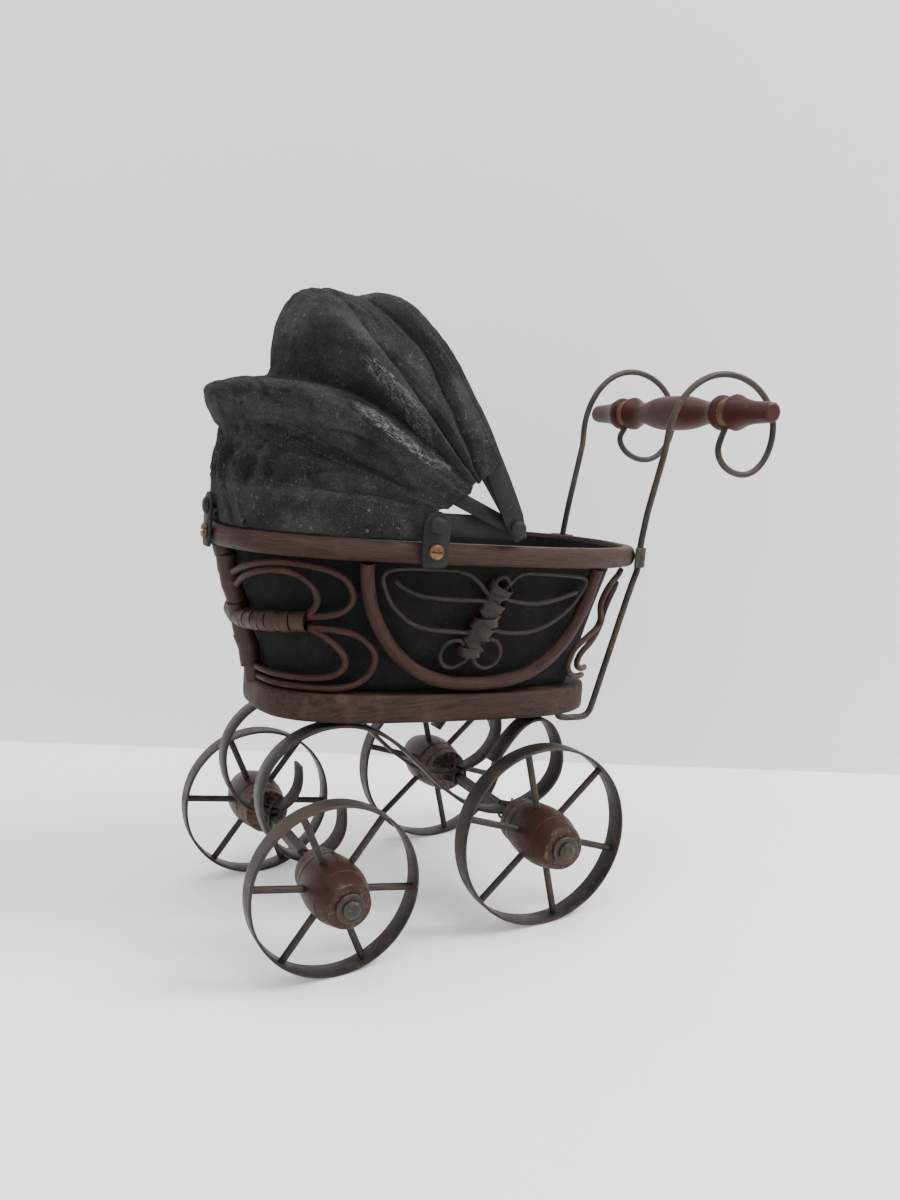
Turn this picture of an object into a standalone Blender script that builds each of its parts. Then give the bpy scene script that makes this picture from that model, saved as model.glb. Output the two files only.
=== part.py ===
"""Wicker doll pram: iron wheels and scroll springs, a rattan basket on a plank, a wire handle, a folding cloth hood.

Sizes are in millimetres and become metres where a mesh or a place is written.  World axes: +X runs from the hood
end to the handle end, +Y from the pusher's left to the pusher's right, +Z up.  The basket, handle and hood are
drawn in a body frame whose origin is the middle of the plank's top face, tipped nose up by BODY_TILT.
"""
import math

import bmesh
import bpy
from mathutils import Matrix, Vector

MM = 0.001

# Wheels, hubs and axles
FRONT_WHEEL_R = 35.0
REAR_WHEEL_R = 39.0
WHEEL_BASE = 94.0
TRACK = 111.0
TYRE_WIDTH = 10.0
TYRE_THICK = 1.2
SPOKE_COUNT = 6
SPOKE_R = 1.5
SPOKE_SOCKET_DEPTH = 4.5
FRONT_SPOKE_PHASE = 49.0
REAR_SPOKE_PHASE = 39.0
HUB_LENGTH = 38.0
HUB_INNER_R = 10.0
HUB_BELLY_R = 12.4
HUB_OUTER_R = 8.6
JOURNAL_R = 2.0
AXLE_BAR = 4.4
WASHER_R = 5.8
WASHER_THICK = 1.2
AXLE_HEAD_R = 3.4
AXLE_HEAD_THICK = 1.8
RUN_GAP = 0.35

# Scroll springs and the wire that lashes them to the axles
SPRING_WIDTH = 10.0
SPRING_THICK = 1.5
SPRING_SPACING = 58.6
SPRING_FRONT_LOOP = 21.0
SPRING_REAR_LOOP = 24.0
SPRING_CURL_R = 14.0
LASH_R = 0.6
LASH_GAP = 0.35

# Plank under the basket
BODY_TILT = math.radians(6.3)
BODY_X = 16.5
PLANK_Z = 101.2
PLANK_LENGTH = 155.5
PLANK_WIDTH = 80.0
PLANK_THICK = 12.2
PLANK_POWER = 3.1

# Rim of bundled rattan and the basket below it
RIM_LENGTH = 196.0
RIM_WIDTH = 112.0
RIM_POWER = 2.6
RIM_TOP = 64.0
RIM_TALL = 8.5
RIM_DEEP = 6.0
WALL_FOOT_INSET = 2.0
LINER_THICK = 1.5
ARCH_R = 2.9
ARCH_MIDDLE = 6.0
ARCH_HALF = 52.0
ARCH_FOOT = 4.2
SCROLL_R = 1.4
WING_R = 0.9
POST_R = 4.2
TIE_R = 4.0
TIE_END = -70.0

# Handle
WIRE_R = 1.5
HANDLE_X = 127.0
HANDLE_Z = 128.0
HANDLE_SPACING = 79.0
FOOT_SPACING = 64.4
FOOT_START = 54.0
FOOT_PEG = 4.6
FOOT_BEND = 72.0
LOOP_REACH = 31.0
LOOP_FAR_REACH = 29.0
LOOP_RISE = 17.0
RIGHT_LOOP_SHIFT = 3.5
RIGHT_LOOP_LIFT = 4.5
RIGHT_LOOP_TRIM = 3.0
GRIP_LENGTH = 137.0
GRIP_BULGE_R = 8.4
GRIP_COLLAR_R = 8.2
GRIP_NECK_R = 5.0
GRIP_GROOVE_R = 6.2
GRIP_END_R = 4.6
WIRE_SOCKET_DEPTH = 3.0
CLAMP_TALL = 9.0
CLAMP_THICK = 1.0
CLAMP_FLANGE = 3.4

# Hood: a fixed hoop, three bows on one pivot, and their cloth
PIVOT_X = 12.0
PIVOT_RISE = 7.0
HOOP_TALL = 9.5
HOOP_INSET = 1.8
STRIP_THICK = 1.1
STRIP_GAP = 0.55
LEG_SPRING = 0.6
BOW_BACK_ANGLE = 157.0
BOW_BACK_REACH = 116.0
BOW_BACK_WIDE = 6.0
BOW_MIDDLE_ANGLE = 125.0
BOW_MIDDLE_REACH = 102.0
BOW_MIDDLE_WIDE = 5.0
BOW_FRONT_ANGLE = 116.0
BOW_FRONT_REACH = 99.5
BOW_FRONT_WIDE = 9.0
BOW_STUB = 4.5
BOW_LEG_BARE = 30.0
PIVOT_HEAD_R = 3.6
PIVOT_HEAD_TALL = 1.8
PIVOT_SHANK_R = 1.5
BRACKET_X = -23.3
BRACKET_WIDE = 11.0
BRACKET_TALL = 22.0
BRACKET_THICK = 1.2
RIVET_HEAD_R = 3.5
SCREW_HEAD_R = 3.1
HEAD_TALL = 1.5
SHANK_R = 1.2
SCREW_DEPTH = 4.0
CLOTH_THICK = 1.4
CLOTH_GAP = 0.4
SKIRT_LEAN = 8.5

TOUCH_GAP = 0.35

FRONT_X = -WHEEL_BASE / 2
REAR_X = WHEEL_BASE / 2
HUB_INNER_Y = TRACK / 2 - HUB_LENGTH / 2
HUB_OUTER_Y = TRACK / 2 + HUB_LENGTH / 2
SPRING_Y = SPRING_SPACING / 2
RIM_A = RIM_LENGTH / 2
RIM_B = RIM_WIDTH / 2
RIM_BASE = RIM_TOP - RIM_TALL
WALL_TOP_A = RIM_A - RIM_DEEP / 2
WALL_TOP_B = RIM_B - RIM_DEEP / 2
WALL_FOOT_A = PLANK_LENGTH / 2 - WALL_FOOT_INSET
WALL_FOOT_B = PLANK_WIDTH / 2 - WALL_FOOT_INSET
PIVOT_Z = RIM_TOP + PIVOT_RISE
HOOP_A = WALL_TOP_A - HOOP_INSET
HOOP_B = WALL_TOP_B - HOOP_INSET
STACK_STEP = STRIP_THICK + STRIP_GAP

FINISHES = {
    "iron": ((0.115, 0.095, 0.082), 0.55, 0.8),
    "hub_wood": ((0.16, 0.06, 0.05), 0.6, 0.0),
    "rattan": ((0.13, 0.07, 0.055), 0.6, 0.0),
    "cane": ((0.12, 0.08, 0.065), 0.6, 0.0),
    "plank": ((0.1, 0.05, 0.042), 0.65, 0.0),
    "liner": ((0.012, 0.012, 0.012), 0.9, 0.0),
    "hood_cloth": ((0.03, 0.03, 0.031), 0.9, 0.0),
    "hood_metal": ((0.045, 0.045, 0.043), 0.5, 0.7),
    "screw_bronze": ((0.3, 0.17, 0.08), 0.4, 1.0),
}


def clear_scene():
    """Remove every object that the file already holds."""
    for item in list(bpy.data.objects):
        bpy.data.objects.remove(item, do_unlink=True)


def finish(name):
    """The Principled material of one finish, made once."""
    known = bpy.data.materials.get(name)
    if known:
        return known
    colour, roughness, metallic = FINISHES[name]
    material = bpy.data.materials.new(name)
    material.use_nodes = True
    shader = material.node_tree.nodes["Principled BSDF"]
    shader.inputs["Base Color"].default_value = (*colour, 1.0)
    shader.inputs["Roughness"].default_value = roughness
    shader.inputs["Metallic"].default_value = metallic
    return material


def empty(name, place=(0, 0, 0), parent=None, turn=(0, 0, 0)):
    """A named frame of reference."""
    frame = bpy.data.objects.new(name, None)
    frame.location = Vector(place) * MM
    frame.rotation_euler = turn
    frame.parent = parent
    bpy.context.scene.collection.objects.link(frame)
    return frame


def piece(name, bm, look, parent):
    """A named object from a bmesh in millimetres, smooth where its faces meet at a low angle."""
    bmesh.ops.scale(bm, vec=(MM, MM, MM), verts=bm.verts)
    bmesh.ops.recalc_face_normals(bm, faces=bm.faces)
    mesh = bpy.data.meshes.new(name)
    bm.to_mesh(mesh)
    bm.free()
    mesh.shade_smooth()
    mesh.set_sharp_from_angle(angle=math.radians(40))
    mesh.materials.append(finish(look))
    item = bpy.data.objects.new(name, mesh)
    item.parent = parent
    bpy.context.scene.collection.objects.link(item)
    return item


def cut(target, cutter, operation="DIFFERENCE"):
    """Take a hidden guide away from a piece, or join it on."""
    cutter.hide_render = True
    cutter.display_type = "WIRE"
    step = target.modifiers.new(cutter.name, "BOOLEAN")
    step.operation = operation
    step.solver = "EXACT"
    step.object = cutter


def join(target, *guides):
    """Unite hidden guides with a piece."""
    for guide in guides:
        cut(target, guide, "UNION")


def round_section(radius, sides):
    """The outline of a round rod."""
    turn = 2 * math.pi / sides
    return [(radius * math.cos(turn * (i + 0.5)), radius * math.sin(turn * (i + 0.5))) for i in range(sides)]


def flat_section(thick, wide):
    """The outline of a flat strip: thickness first, then width."""
    return [(thick / 2, wide / 2), (-thick / 2, wide / 2), (-thick / 2, -wide / 2), (thick / 2, -wide / 2)]


def half_round_section(thick, tall):
    """The outline of the rim's bundle: flat on the inside, bulging on the outside."""
    return [(-thick / 2, tall / 2), (0.15 * thick, tall / 2), (thick / 2, 0.22 * tall),
            (thick / 2, -0.22 * tall), (0.15 * thick, -tall / 2), (-thick / 2, -tall / 2)]


def sweep(bm, path, section, closed=False, side=None):
    """Carry a section along a path.  side is the fixed direction of the section's second axis, if it has one."""
    count = len(path)
    rings = []
    across = None
    for i, point in enumerate(path):
        back = path[i - 1] if closed or i > 0 else point
        ahead = path[(i + 1) % count] if closed or i < count - 1 else point
        along = (ahead - back).normalized()
        if side is not None:
            across = Vector(side)
        elif across is None:
            across = along.orthogonal()
        across = (across - along * across.dot(along)).normalized()
        outward = along.cross(across)
        rings.append([bm.verts.new(point + outward * u + across * v) for u, v in section])
    spans = count if closed else count - 1
    for i in range(spans):
        here, there = rings[i], rings[(i + 1) % count]
        for j in range(len(section)):
            k = (j + 1) % len(section)
            bm.faces.new((here[j], here[k], there[k], there[j]))
    if not closed:
        bm.faces.new(rings[0])
        bm.faces.new(reversed(rings[-1]))
    return bm


def rod(name, path, radius, look, parent, sides=6, closed=False, side=None):
    """A round rod along a path."""
    return piece(name, sweep(bmesh.new(), path, round_section(radius, sides), closed, side), look, parent)


def strip(name, path, thick, wide, side, look, parent):
    """A flat strip along a path, its width along side."""
    return piece(name, sweep(bmesh.new(), path, flat_section(thick, wide), False, side), look, parent)


def lathe(name, profile, segments, look, parent, closed=False):
    """Turn a profile of (radius, y) about the Y axis; a closed profile gives a ring."""
    bm = bmesh.new()
    verts = [bm.verts.new((radius, y, 0)) for radius, y in profile]
    edges = [bm.edges.new(pair) for pair in zip(verts, verts[1:])]
    if closed:
        edges.append(bm.edges.new((verts[-1], verts[0])))
    bmesh.ops.spin(bm, geom=verts + edges, cent=(0, 0, 0), axis=(0, 1, 0), angle=2 * math.pi,
                   steps=segments, use_merge=True)
    bmesh.ops.remove_doubles(bm, verts=bm.verts, dist=0.001)
    return piece(name, bm, look, parent)


def cylinders(name, ends, radius, parent, sides=8):
    """A hidden guide of separate round pegs, one for each pair of ends."""
    bm = bmesh.new()
    for start, end in ends:
        sweep(bm, [Vector(start), Vector(end)], round_section(radius, sides))
    return piece(name, bm, "iron", parent)


def quarter(middle, reach_x, reach_z, start, end, steps, y=0.0):
    """Points of an elliptical arc in the XZ plane, angles in degrees from +X towards +Z."""
    points = []
    for i in range(steps + 1):
        angle = math.radians(start + (end - start) * i / steps)
        points.append(Vector((middle[0] + reach_x * math.cos(angle), y, middle[1] + reach_z * math.sin(angle))))
    return points


def smooth(points, steps):
    """A Catmull-Rom curve through the points."""
    spread = [points[0] * 2 - points[1], *points, points[-1] * 2 - points[-2]]
    curve = []
    for a, b, c, d in zip(spread, spread[1:], spread[2:], spread[3:]):
        for i in range(steps):
            t = i / steps
            curve.append(0.5 * (2 * b + (c - a) * t + (2 * a - 5 * b + 4 * c - d) * t ** 2
                                + (3 * b - a - 3 * c + d) * t ** 3))
    return curve + [points[-1]]


def bezier(a, b, c, d, steps):
    """A cubic curve with two handles."""
    curve = []
    for i in range(steps + 1):
        t = i / steps
        s = 1 - t
        curve.append(a * s ** 3 + b * 3 * s * s * t + c * 3 * s * t * t + d * t ** 3)
    return curve


def oval_point(angle, half_x, half_y, power):
    """One point of a superellipse, as x and y."""
    c, s = math.cos(angle), math.sin(angle)
    return (math.copysign(half_x * abs(c) ** (2 / power), c), math.copysign(half_y * abs(s) ** (2 / power), s))


def oval(half_x, half_y, power, z, count, start=0.0, end=2 * math.pi, closed=True):
    """Points of a superellipse, or of an arc of one, at one height."""
    steps = count if closed else count - 1
    points = []
    for i in range(count):
        x, y = oval_point(start + (end - start) * i / steps, half_x, half_y, power)
        points.append(Vector((x, y, z)))
    return points


def oval_normal(point, half_x, half_y, power):
    """The outward direction of a superellipse at one of its points."""
    nx = math.copysign(abs(point.x / half_x) ** (power - 1) / half_x, point.x)
    ny = math.copysign(abs(point.y / half_y) ** (power - 1) / half_y, point.y)
    return Vector((nx, ny, 0)).normalized()


def wall_point(angle, height):
    """A point of the basket's wall, where its rattan is centred."""
    k = height / RIM_TOP
    power = PLANK_POWER + (RIM_POWER - PLANK_POWER) * k
    x, y = oval_point(angle, WALL_FOOT_A + (WALL_TOP_A - WALL_FOOT_A) * k,
                      WALL_FOOT_B + (WALL_TOP_B - WALL_FOOT_B) * k, power)
    return Vector((x, y, height))


def wall_lengths(steps=360):
    """Angle and distance round the wall's middle height, from the left side's middle towards the handle end."""
    rows = [(-math.pi / 2, 0.0)]
    last = wall_point(-math.pi / 2, RIM_TOP / 2)
    for i in range(1, steps + 1):
        angle = -math.pi / 2 + math.pi * i / steps
        point = wall_point(angle, RIM_TOP / 2)
        rows.append((angle, rows[-1][1] + (point - last).length))
        last = point
    return rows


WALL_ROWS = wall_lengths()
END_REACH = next(length for angle, length in WALL_ROWS if angle >= -1e-9)


def on_wall(reach, height, side=-1):
    """The wall's point at a distance round it from the middle of one side, towards the handle end if positive."""
    sought = abs(reach)
    angle = WALL_ROWS[-1][0]
    for (a0, l0), (a1, l1) in zip(WALL_ROWS, WALL_ROWS[1:]):
        if l1 >= sought:
            angle = a0 + (a1 - a0) * (sought - l0) / (l1 - l0)
            break
    point = wall_point(angle, height)
    if reach < 0:
        point.x = -point.x
    if side > 0:
        point.y = -point.y
    return point


def wall_path(route, side, steps=3):
    """A smooth curve on the wall through (distance, height) pairs."""
    flat = smooth([Vector((reach, height, 0)) for reach, height in route], steps)
    return [on_wall(point.x, point.y, side) for point in flat]


def wheel(prefix, x, side, radius, phase, parent):
    """An iron tyre with its spokes, a turned hub and the washer outside it."""
    axis = empty(prefix + "_wheel_axis", (x, side * TRACK / 2, radius), parent)
    inner = radius - TYRE_THICK
    half = TYRE_WIDTH / 2
    tyre = lathe(prefix + "_wheel_iron", [(radius, -half), (radius, half), (inner, half), (inner, -half)],
                 32, "iron", axis, closed=True)
    angles = [math.radians(phase + 360 * i / SPOKE_COUNT) for i in range(SPOKE_COUNT)]
    root_r = HUB_BELLY_R - SPOKE_SOCKET_DEPTH + TOUCH_GAP
    rays = [Vector((math.cos(a), 0, math.sin(a))) for a in angles]
    spokes = cylinders(prefix + "_spokes", [(ray * root_r, ray * (radius - TYRE_THICK / 2)) for ray in rays],
                       SPOKE_R, axis, sides=6)
    join(tyre, spokes)
    end = HUB_LENGTH / 2
    bore = JOURNAL_R + RUN_GAP
    profile = [(bore, -end), (HUB_INNER_R, -end), (HUB_BELLY_R - 0.8, -0.55 * end), (HUB_BELLY_R, 0.1 * end),
               (HUB_BELLY_R - 0.6, 0.5 * end), (HUB_OUTER_R, end), (bore, end)]
    hub = lathe(prefix + "_hub", [(r, y * side) for r, y in profile], 14, "hub_wood", axis, closed=True)
    sockets = cylinders(prefix + "_sockets", [(ray * (HUB_BELLY_R - SPOKE_SOCKET_DEPTH), ray * (HUB_BELLY_R + 3))
                                              for ray in rays], SPOKE_R + TOUCH_GAP, axis, sides=6)
    cut(hub, sockets)
    near = end + TOUCH_GAP
    far = near + WASHER_THICK
    lathe(prefix + "_washer", [(bore, side * near), (WASHER_R, side * near), (WASHER_R, side * far),
                               (bore, side * far)], 12, "iron", axis, closed=True)


def axle(prefix, x, height, parent):
    """A square bar with round journals and riveted ends."""
    frame = empty(prefix + "_axle_axis", (x, 0, height), parent)
    reach = HUB_OUTER_Y + TOUCH_GAP + WASHER_THICK + TOUCH_GAP
    end = reach + AXLE_HEAD_THICK
    profile = [(0, -end), (AXLE_HEAD_R * 0.7, -end), (AXLE_HEAD_R, -end + 0.6), (AXLE_HEAD_R, -reach),
               (JOURNAL_R, -reach), (JOURNAL_R, reach), (AXLE_HEAD_R, reach), (AXLE_HEAD_R, end - 0.6),
               (AXLE_HEAD_R * 0.7, end), (0, end)]
    shaft = lathe(prefix + "_axle", profile, 12, "iron", frame)
    square = HUB_INNER_Y - TOUCH_GAP
    bar = strip(prefix + "_axle_bar", [Vector((0, -square, 0)), Vector((0, square, 0))], AXLE_BAR, AXLE_BAR,
                (0, 0, 1), "iron", frame)
    join(shaft, bar)


def spring_path(y):
    """The double scroll, from the curl inside the front loop to the curl behind the rear one."""
    rest = AXLE_BAR / 2 + TOUCH_GAP + SPRING_THICK / 2
    front_low = FRONT_WHEEL_R + rest
    rear_low = REAR_WHEEL_R + rest
    slope = math.tan(BODY_TILT)
    under = PLANK_THICK / math.cos(BODY_TILT) + SPRING_THICK / 2 + 1.0
    front_top_x = FRONT_X + 0.5 * SPRING_FRONT_LOOP
    rear_top_x = REAR_X + 0.5 * SPRING_REAR_LOOP
    front_top = PLANK_Z - (front_top_x - BODY_X) * slope - under
    rear_top = PLANK_Z - (rear_top_x - BODY_X) * slope - under
    front_mid = (front_low + front_top) / 2
    rear_mid = (rear_low + rear_top) / 2
    left = FRONT_X - SPRING_FRONT_LOOP
    right = REAR_X + SPRING_REAR_LOOP
    curl = SPRING_CURL_R
    path = [Vector((FRONT_X + curl, y, front_low + curl + 6)), Vector((FRONT_X + curl, y, front_low + curl + 2))]
    path += quarter((FRONT_X, front_low + curl), curl, curl, 0, -90, 5, y)
    path += quarter((FRONT_X, front_mid), SPRING_FRONT_LOOP, front_mid - front_low, -90, -180, 6, y)[1:]
    path += quarter((front_top_x, front_mid), front_top_x - left, front_top - front_mid, 180, 90, 6, y)[1:]
    start, end = path[-1], Vector((REAR_X - 2, y, rear_low))
    pull = Vector((0.46 * (end.x - start.x), 0, 0))
    path += bezier(start, start + pull, end - pull, end, 10)[1:]
    path += quarter((REAR_X - 2, rear_mid), right - REAR_X + 2, rear_mid - rear_low, -90, 0, 6, y)[1:]
    path += quarter((rear_top_x, rear_mid), right - rear_top_x, rear_top - rear_mid, 0, 90, 5, y)[1:]
    top = path[-1]
    path += bezier(top, top - Vector((8, 0, 0)), top + Vector((-13, 0, -7)), top + Vector((-22, 0, -17)), 6)[1:]
    return path


def undercarriage(parent):
    """Wheels, axles, springs and their lashings."""
    for prefix, x, radius, phase in (("front", FRONT_X, FRONT_WHEEL_R, FRONT_SPOKE_PHASE),
                                     ("rear", REAR_X, REAR_WHEEL_R, REAR_SPOKE_PHASE)):
        for word, side in (("left", -1), ("right", 1)):
            wheel(prefix + "_" + word, x, side, radius, phase, parent)
        axle(prefix, x, radius, parent)
    reach_x = AXLE_BAR / 2 + LASH_R + LASH_GAP
    reach_y = SPRING_WIDTH / 2 + LASH_R + LASH_GAP
    for word, side in (("left", -1), ("right", 1)):
        y = side * SPRING_Y
        strip(word + "_spring", spring_path(y), SPRING_THICK, SPRING_WIDTH, (0, 1, 0), "iron", parent)
        for prefix, x, radius in (("front", FRONT_X, FRONT_WHEEL_R), ("rear", REAR_X, REAR_WHEEL_R)):
            low = radius - AXLE_BAR / 2 - LASH_R - LASH_GAP
            high = radius + AXLE_BAR / 2 + TOUCH_GAP + SPRING_THICK + LASH_R + 2 * LASH_GAP
            near = Vector((x - reach_x, y - reach_y, 0))
            far = Vector((x + reach_x, y + reach_y, 0))
            corners = [near + Vector((0, 0, low)), near + Vector((0, 0, high)),
                       far + Vector((0, 0, high)), far + Vector((0, 0, low))]
            flat = (far - near).cross(Vector((0, 0, 1)))
            rod(prefix + "_" + word + "_lashing", corners, LASH_R, "iron", parent, 6, True, flat)


def plank(body):
    """The board that carries the basket."""
    bm = bmesh.new()
    outline = oval(PLANK_LENGTH / 2, PLANK_WIDTH / 2, PLANK_POWER, 0, 48)
    top = bm.faces.new([bm.verts.new(point) for point in outline])
    made = bmesh.ops.extrude_face_region(bm, geom=[top])
    lower = [item for item in made["geom"] if isinstance(item, bmesh.types.BMVert)]
    bmesh.ops.translate(bm, vec=(0, 0, -PLANK_THICK), verts=lower)
    board = piece("base_board", bm, "plank", body)
    ends = []
    for side in (-1, 1):
        y = side * FOOT_SPACING / 2
        ends.append(((FOOT_START, y, -PLANK_THICK - 2), (FOOT_START, y, -PLANK_THICK + FOOT_PEG + TOUCH_GAP)))
    cut(board, cylinders("foot_sockets", ends, WIRE_R + TOUCH_GAP + 0.15, body))
    return board


def liner(body):
    """The cloth bucket inside the rattan: a thin wall with a floor, open at the top."""
    inset = POST_R + TOUCH_GAP + 0.8
    rows = []
    heights = ((TOUCH_GAP, inset), (RIM_TOP - 1.5, inset), (RIM_TOP - 1.5, inset + LINER_THICK),
               (TOUCH_GAP + LINER_THICK, inset + LINER_THICK))
    bm = bmesh.new()
    for height, back in heights:
        k = height / RIM_TOP
        half_x = WALL_FOOT_A + (WALL_TOP_A - WALL_FOOT_A) * k - back
        half_y = WALL_FOOT_B + (WALL_TOP_B - WALL_FOOT_B) * k - back
        power = PLANK_POWER + (RIM_POWER - PLANK_POWER) * k
        rows.append([bm.verts.new(point) for point in oval(half_x, half_y, power, height, 40)])
    for lower, upper in zip(rows, rows[1:]):
        for i in range(len(lower)):
            k = (i + 1) % len(lower)
            bm.faces.new((lower[i], lower[k], upper[k], upper[i]))
    bm.faces.new(rows[0])
    bm.faces.new(rows[-1])
    return piece("basket_liner", bm, "liner", body)


def arch_path(side):
    """The U of thick rattan on one side, fuller towards the handle."""
    top = RIM_BASE - TOUCH_GAP - 0.4
    points = []
    for i in range(25):
        angle = math.pi * (1 + i / 24)
        power = 2.1 if math.cos(angle) < 0 else 2.6
        reach, drop = oval_point(angle, ARCH_HALF, top - ARCH_FOOT, power)
        points.append(on_wall(ARCH_MIDDLE + reach, top + drop, side))
    return points


def wing(word, side, body):
    """The bent-wire wings inside an arch, bound at the middle with cane."""
    lift = RIM_BASE - 2.2
    left_leaf = [(8, 42), (-4, lift - 2), (-18, lift), (-38.5, lift - 1.5), (-37.5, 42), (-31, 34), (-20, 28.5),
                 (4, 26.5)]
    left_vein = [(-35, 48), (-30, 44.5), (-20, 41.5), (8.5, 40.5)]
    right_leaf = [(12, 43), (19, lift - 1.5), (27, lift - 0.5), (52, lift - 2.5), (52.5, 44), (46, 35), (36, 29),
                  (24, 26.5), (7, 28)]
    right_vein = [(10.5, 42), (28, 39.5), (40, 41.5), (50, 44.5)]
    bind = [on_wall(11.5, 46, side), on_wall(7, 32, side), on_wall(1.5, 19, side)]
    binding = rod("wing_wires_" + word, bind, 3.4, "cane", body, 8)
    guides = []
    for i, route in enumerate((left_leaf, left_vein, right_leaf, right_vein)):
        guides.append(rod(f"wing_{word}_guide_{i}", wall_path(route, side, 2), WING_R, "cane", body, 5))
    for i, (middle, height, reach) in enumerate(((-4.5, 17.5, 6), (10.6, 17.5, 6.4), (12, 48.0, 3))):
        ring = []
        for step in range(12):
            angle = math.pi * step / 6
            ring.append(on_wall(middle + reach * math.cos(angle), height + reach * math.sin(angle), side))
        guides.append(rod(f"wing_{word}_ring_{i}", ring, WING_R, "cane", body, 5, True, (0, 1, 0)))
    join(binding, *guides)


def front_scrolls(word, side, body):
    """Two nested leaf loops above the tie and two below it."""
    start = TIE_END + TIE_R * 0.5
    last = -(END_REACH - POST_R - SCROLL_R - 1.2)
    upper_outer = [(start, 31.5), (-56, 33.5), (-50, 40), (-55, 49), (-69, RIM_BASE - 3), (-84, RIM_BASE - 4), (last, 45)]
    upper_inner = [(start, 31.5), (-63.5, 38.5), (-67.5, 46.5), (-77, 49.5), (-90, 46.5), (last, 40)]
    lower_outer = [(start, 27.5), (-51, 26), (-42.5, 21), (-39.5, 15.5), (-42.5, 8), (-52, 3), (-70, 2.2), (last, 2.2)]
    lower_inner = [(start, 27.5), (-58, 21.5), (-52.5, 14), (-56, 8.5), (-66, 6.3), (-84, 6), (last, 6.4)]
    for level, outer, inner in (("upper", upper_outer, upper_inner), ("lower", lower_outer, lower_inner)):
        name = f"front_scroll_{level}_{word}"
        loop = rod(name, wall_path(outer, side), SCROLL_R, "rattan", body, 6)
        join(loop, rod(name + "_inner", wall_path(inner, side), SCROLL_R, "rattan", body, 6))


def rear_scroll(word, side, body):
    """The figure three of thin rattan between an arch and the handle end."""
    route = [(84, RIM_BASE - 2.5), (73, 47.5), (70, 38), (78, 29), (70, 24), (60.5, 18), (60, 10), (68, 5), (84, 3.5)]
    rod("rear_scroll_" + word, wall_path(route, side), SCROLL_R, "rattan", body, 6)


def basket(body):
    """Plank, rim, liner and rattan work."""
    plank(body)
    path = oval(WALL_TOP_A, WALL_TOP_B, RIM_POWER, RIM_TOP - RIM_TALL / 2, 44)
    rim = sweep(bmesh.new(), path, half_round_section(RIM_DEEP, RIM_TALL), True, (0, 0, 1))
    piece("rim_hoop", rim, "rattan", body)
    liner(body)
    top = RIM_BASE - TOUCH_GAP
    post = rod("front_post", [on_wall(-END_REACH, top), on_wall(-END_REACH, RIM_TOP / 2),
                              on_wall(-END_REACH, POST_R * 0.6)], POST_R, "cane", body, 10)
    low, high = RIM_TOP * 0.4, RIM_TOP * 0.46
    sweep_out = [(TIE_END - (END_REACH + TIE_END) * i / 6, high - (high - low) * i / 6) for i in range(7)]
    left_arm = [on_wall(reach, height, -1) for reach, height in sweep_out]
    right_arm = [on_wall(reach, height, 1) for reach, height in reversed(sweep_out[:-1])]
    join(post, rod("front_tie", left_arm + right_arm, TIE_R, "cane", body, 8))
    rod("rear_post", [on_wall(END_REACH, top), on_wall(END_REACH, POST_R * 0.5)], POST_R * 0.6, "cane", body, 8)
    for word, side in (("left", -1), ("right", 1)):
        rod("side_arch_" + word, arch_path(side), ARCH_R, "rattan", body, 8)
        wing(word, side, body)
        front_scrolls(word, side, body)
        rear_scroll(word, side, body)


def rim_seat(side):
    """Where a handle wire lies against the rim, and the outward direction there."""
    y = side * FOOT_SPACING / 2
    x = RIM_A * (1 - abs(y / RIM_B) ** RIM_POWER) ** (1 / RIM_POWER)
    point = Vector((x, y, RIM_TOP - RIM_TALL / 2))
    return point, oval_normal(point, RIM_A, RIM_B, RIM_POWER)


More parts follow.
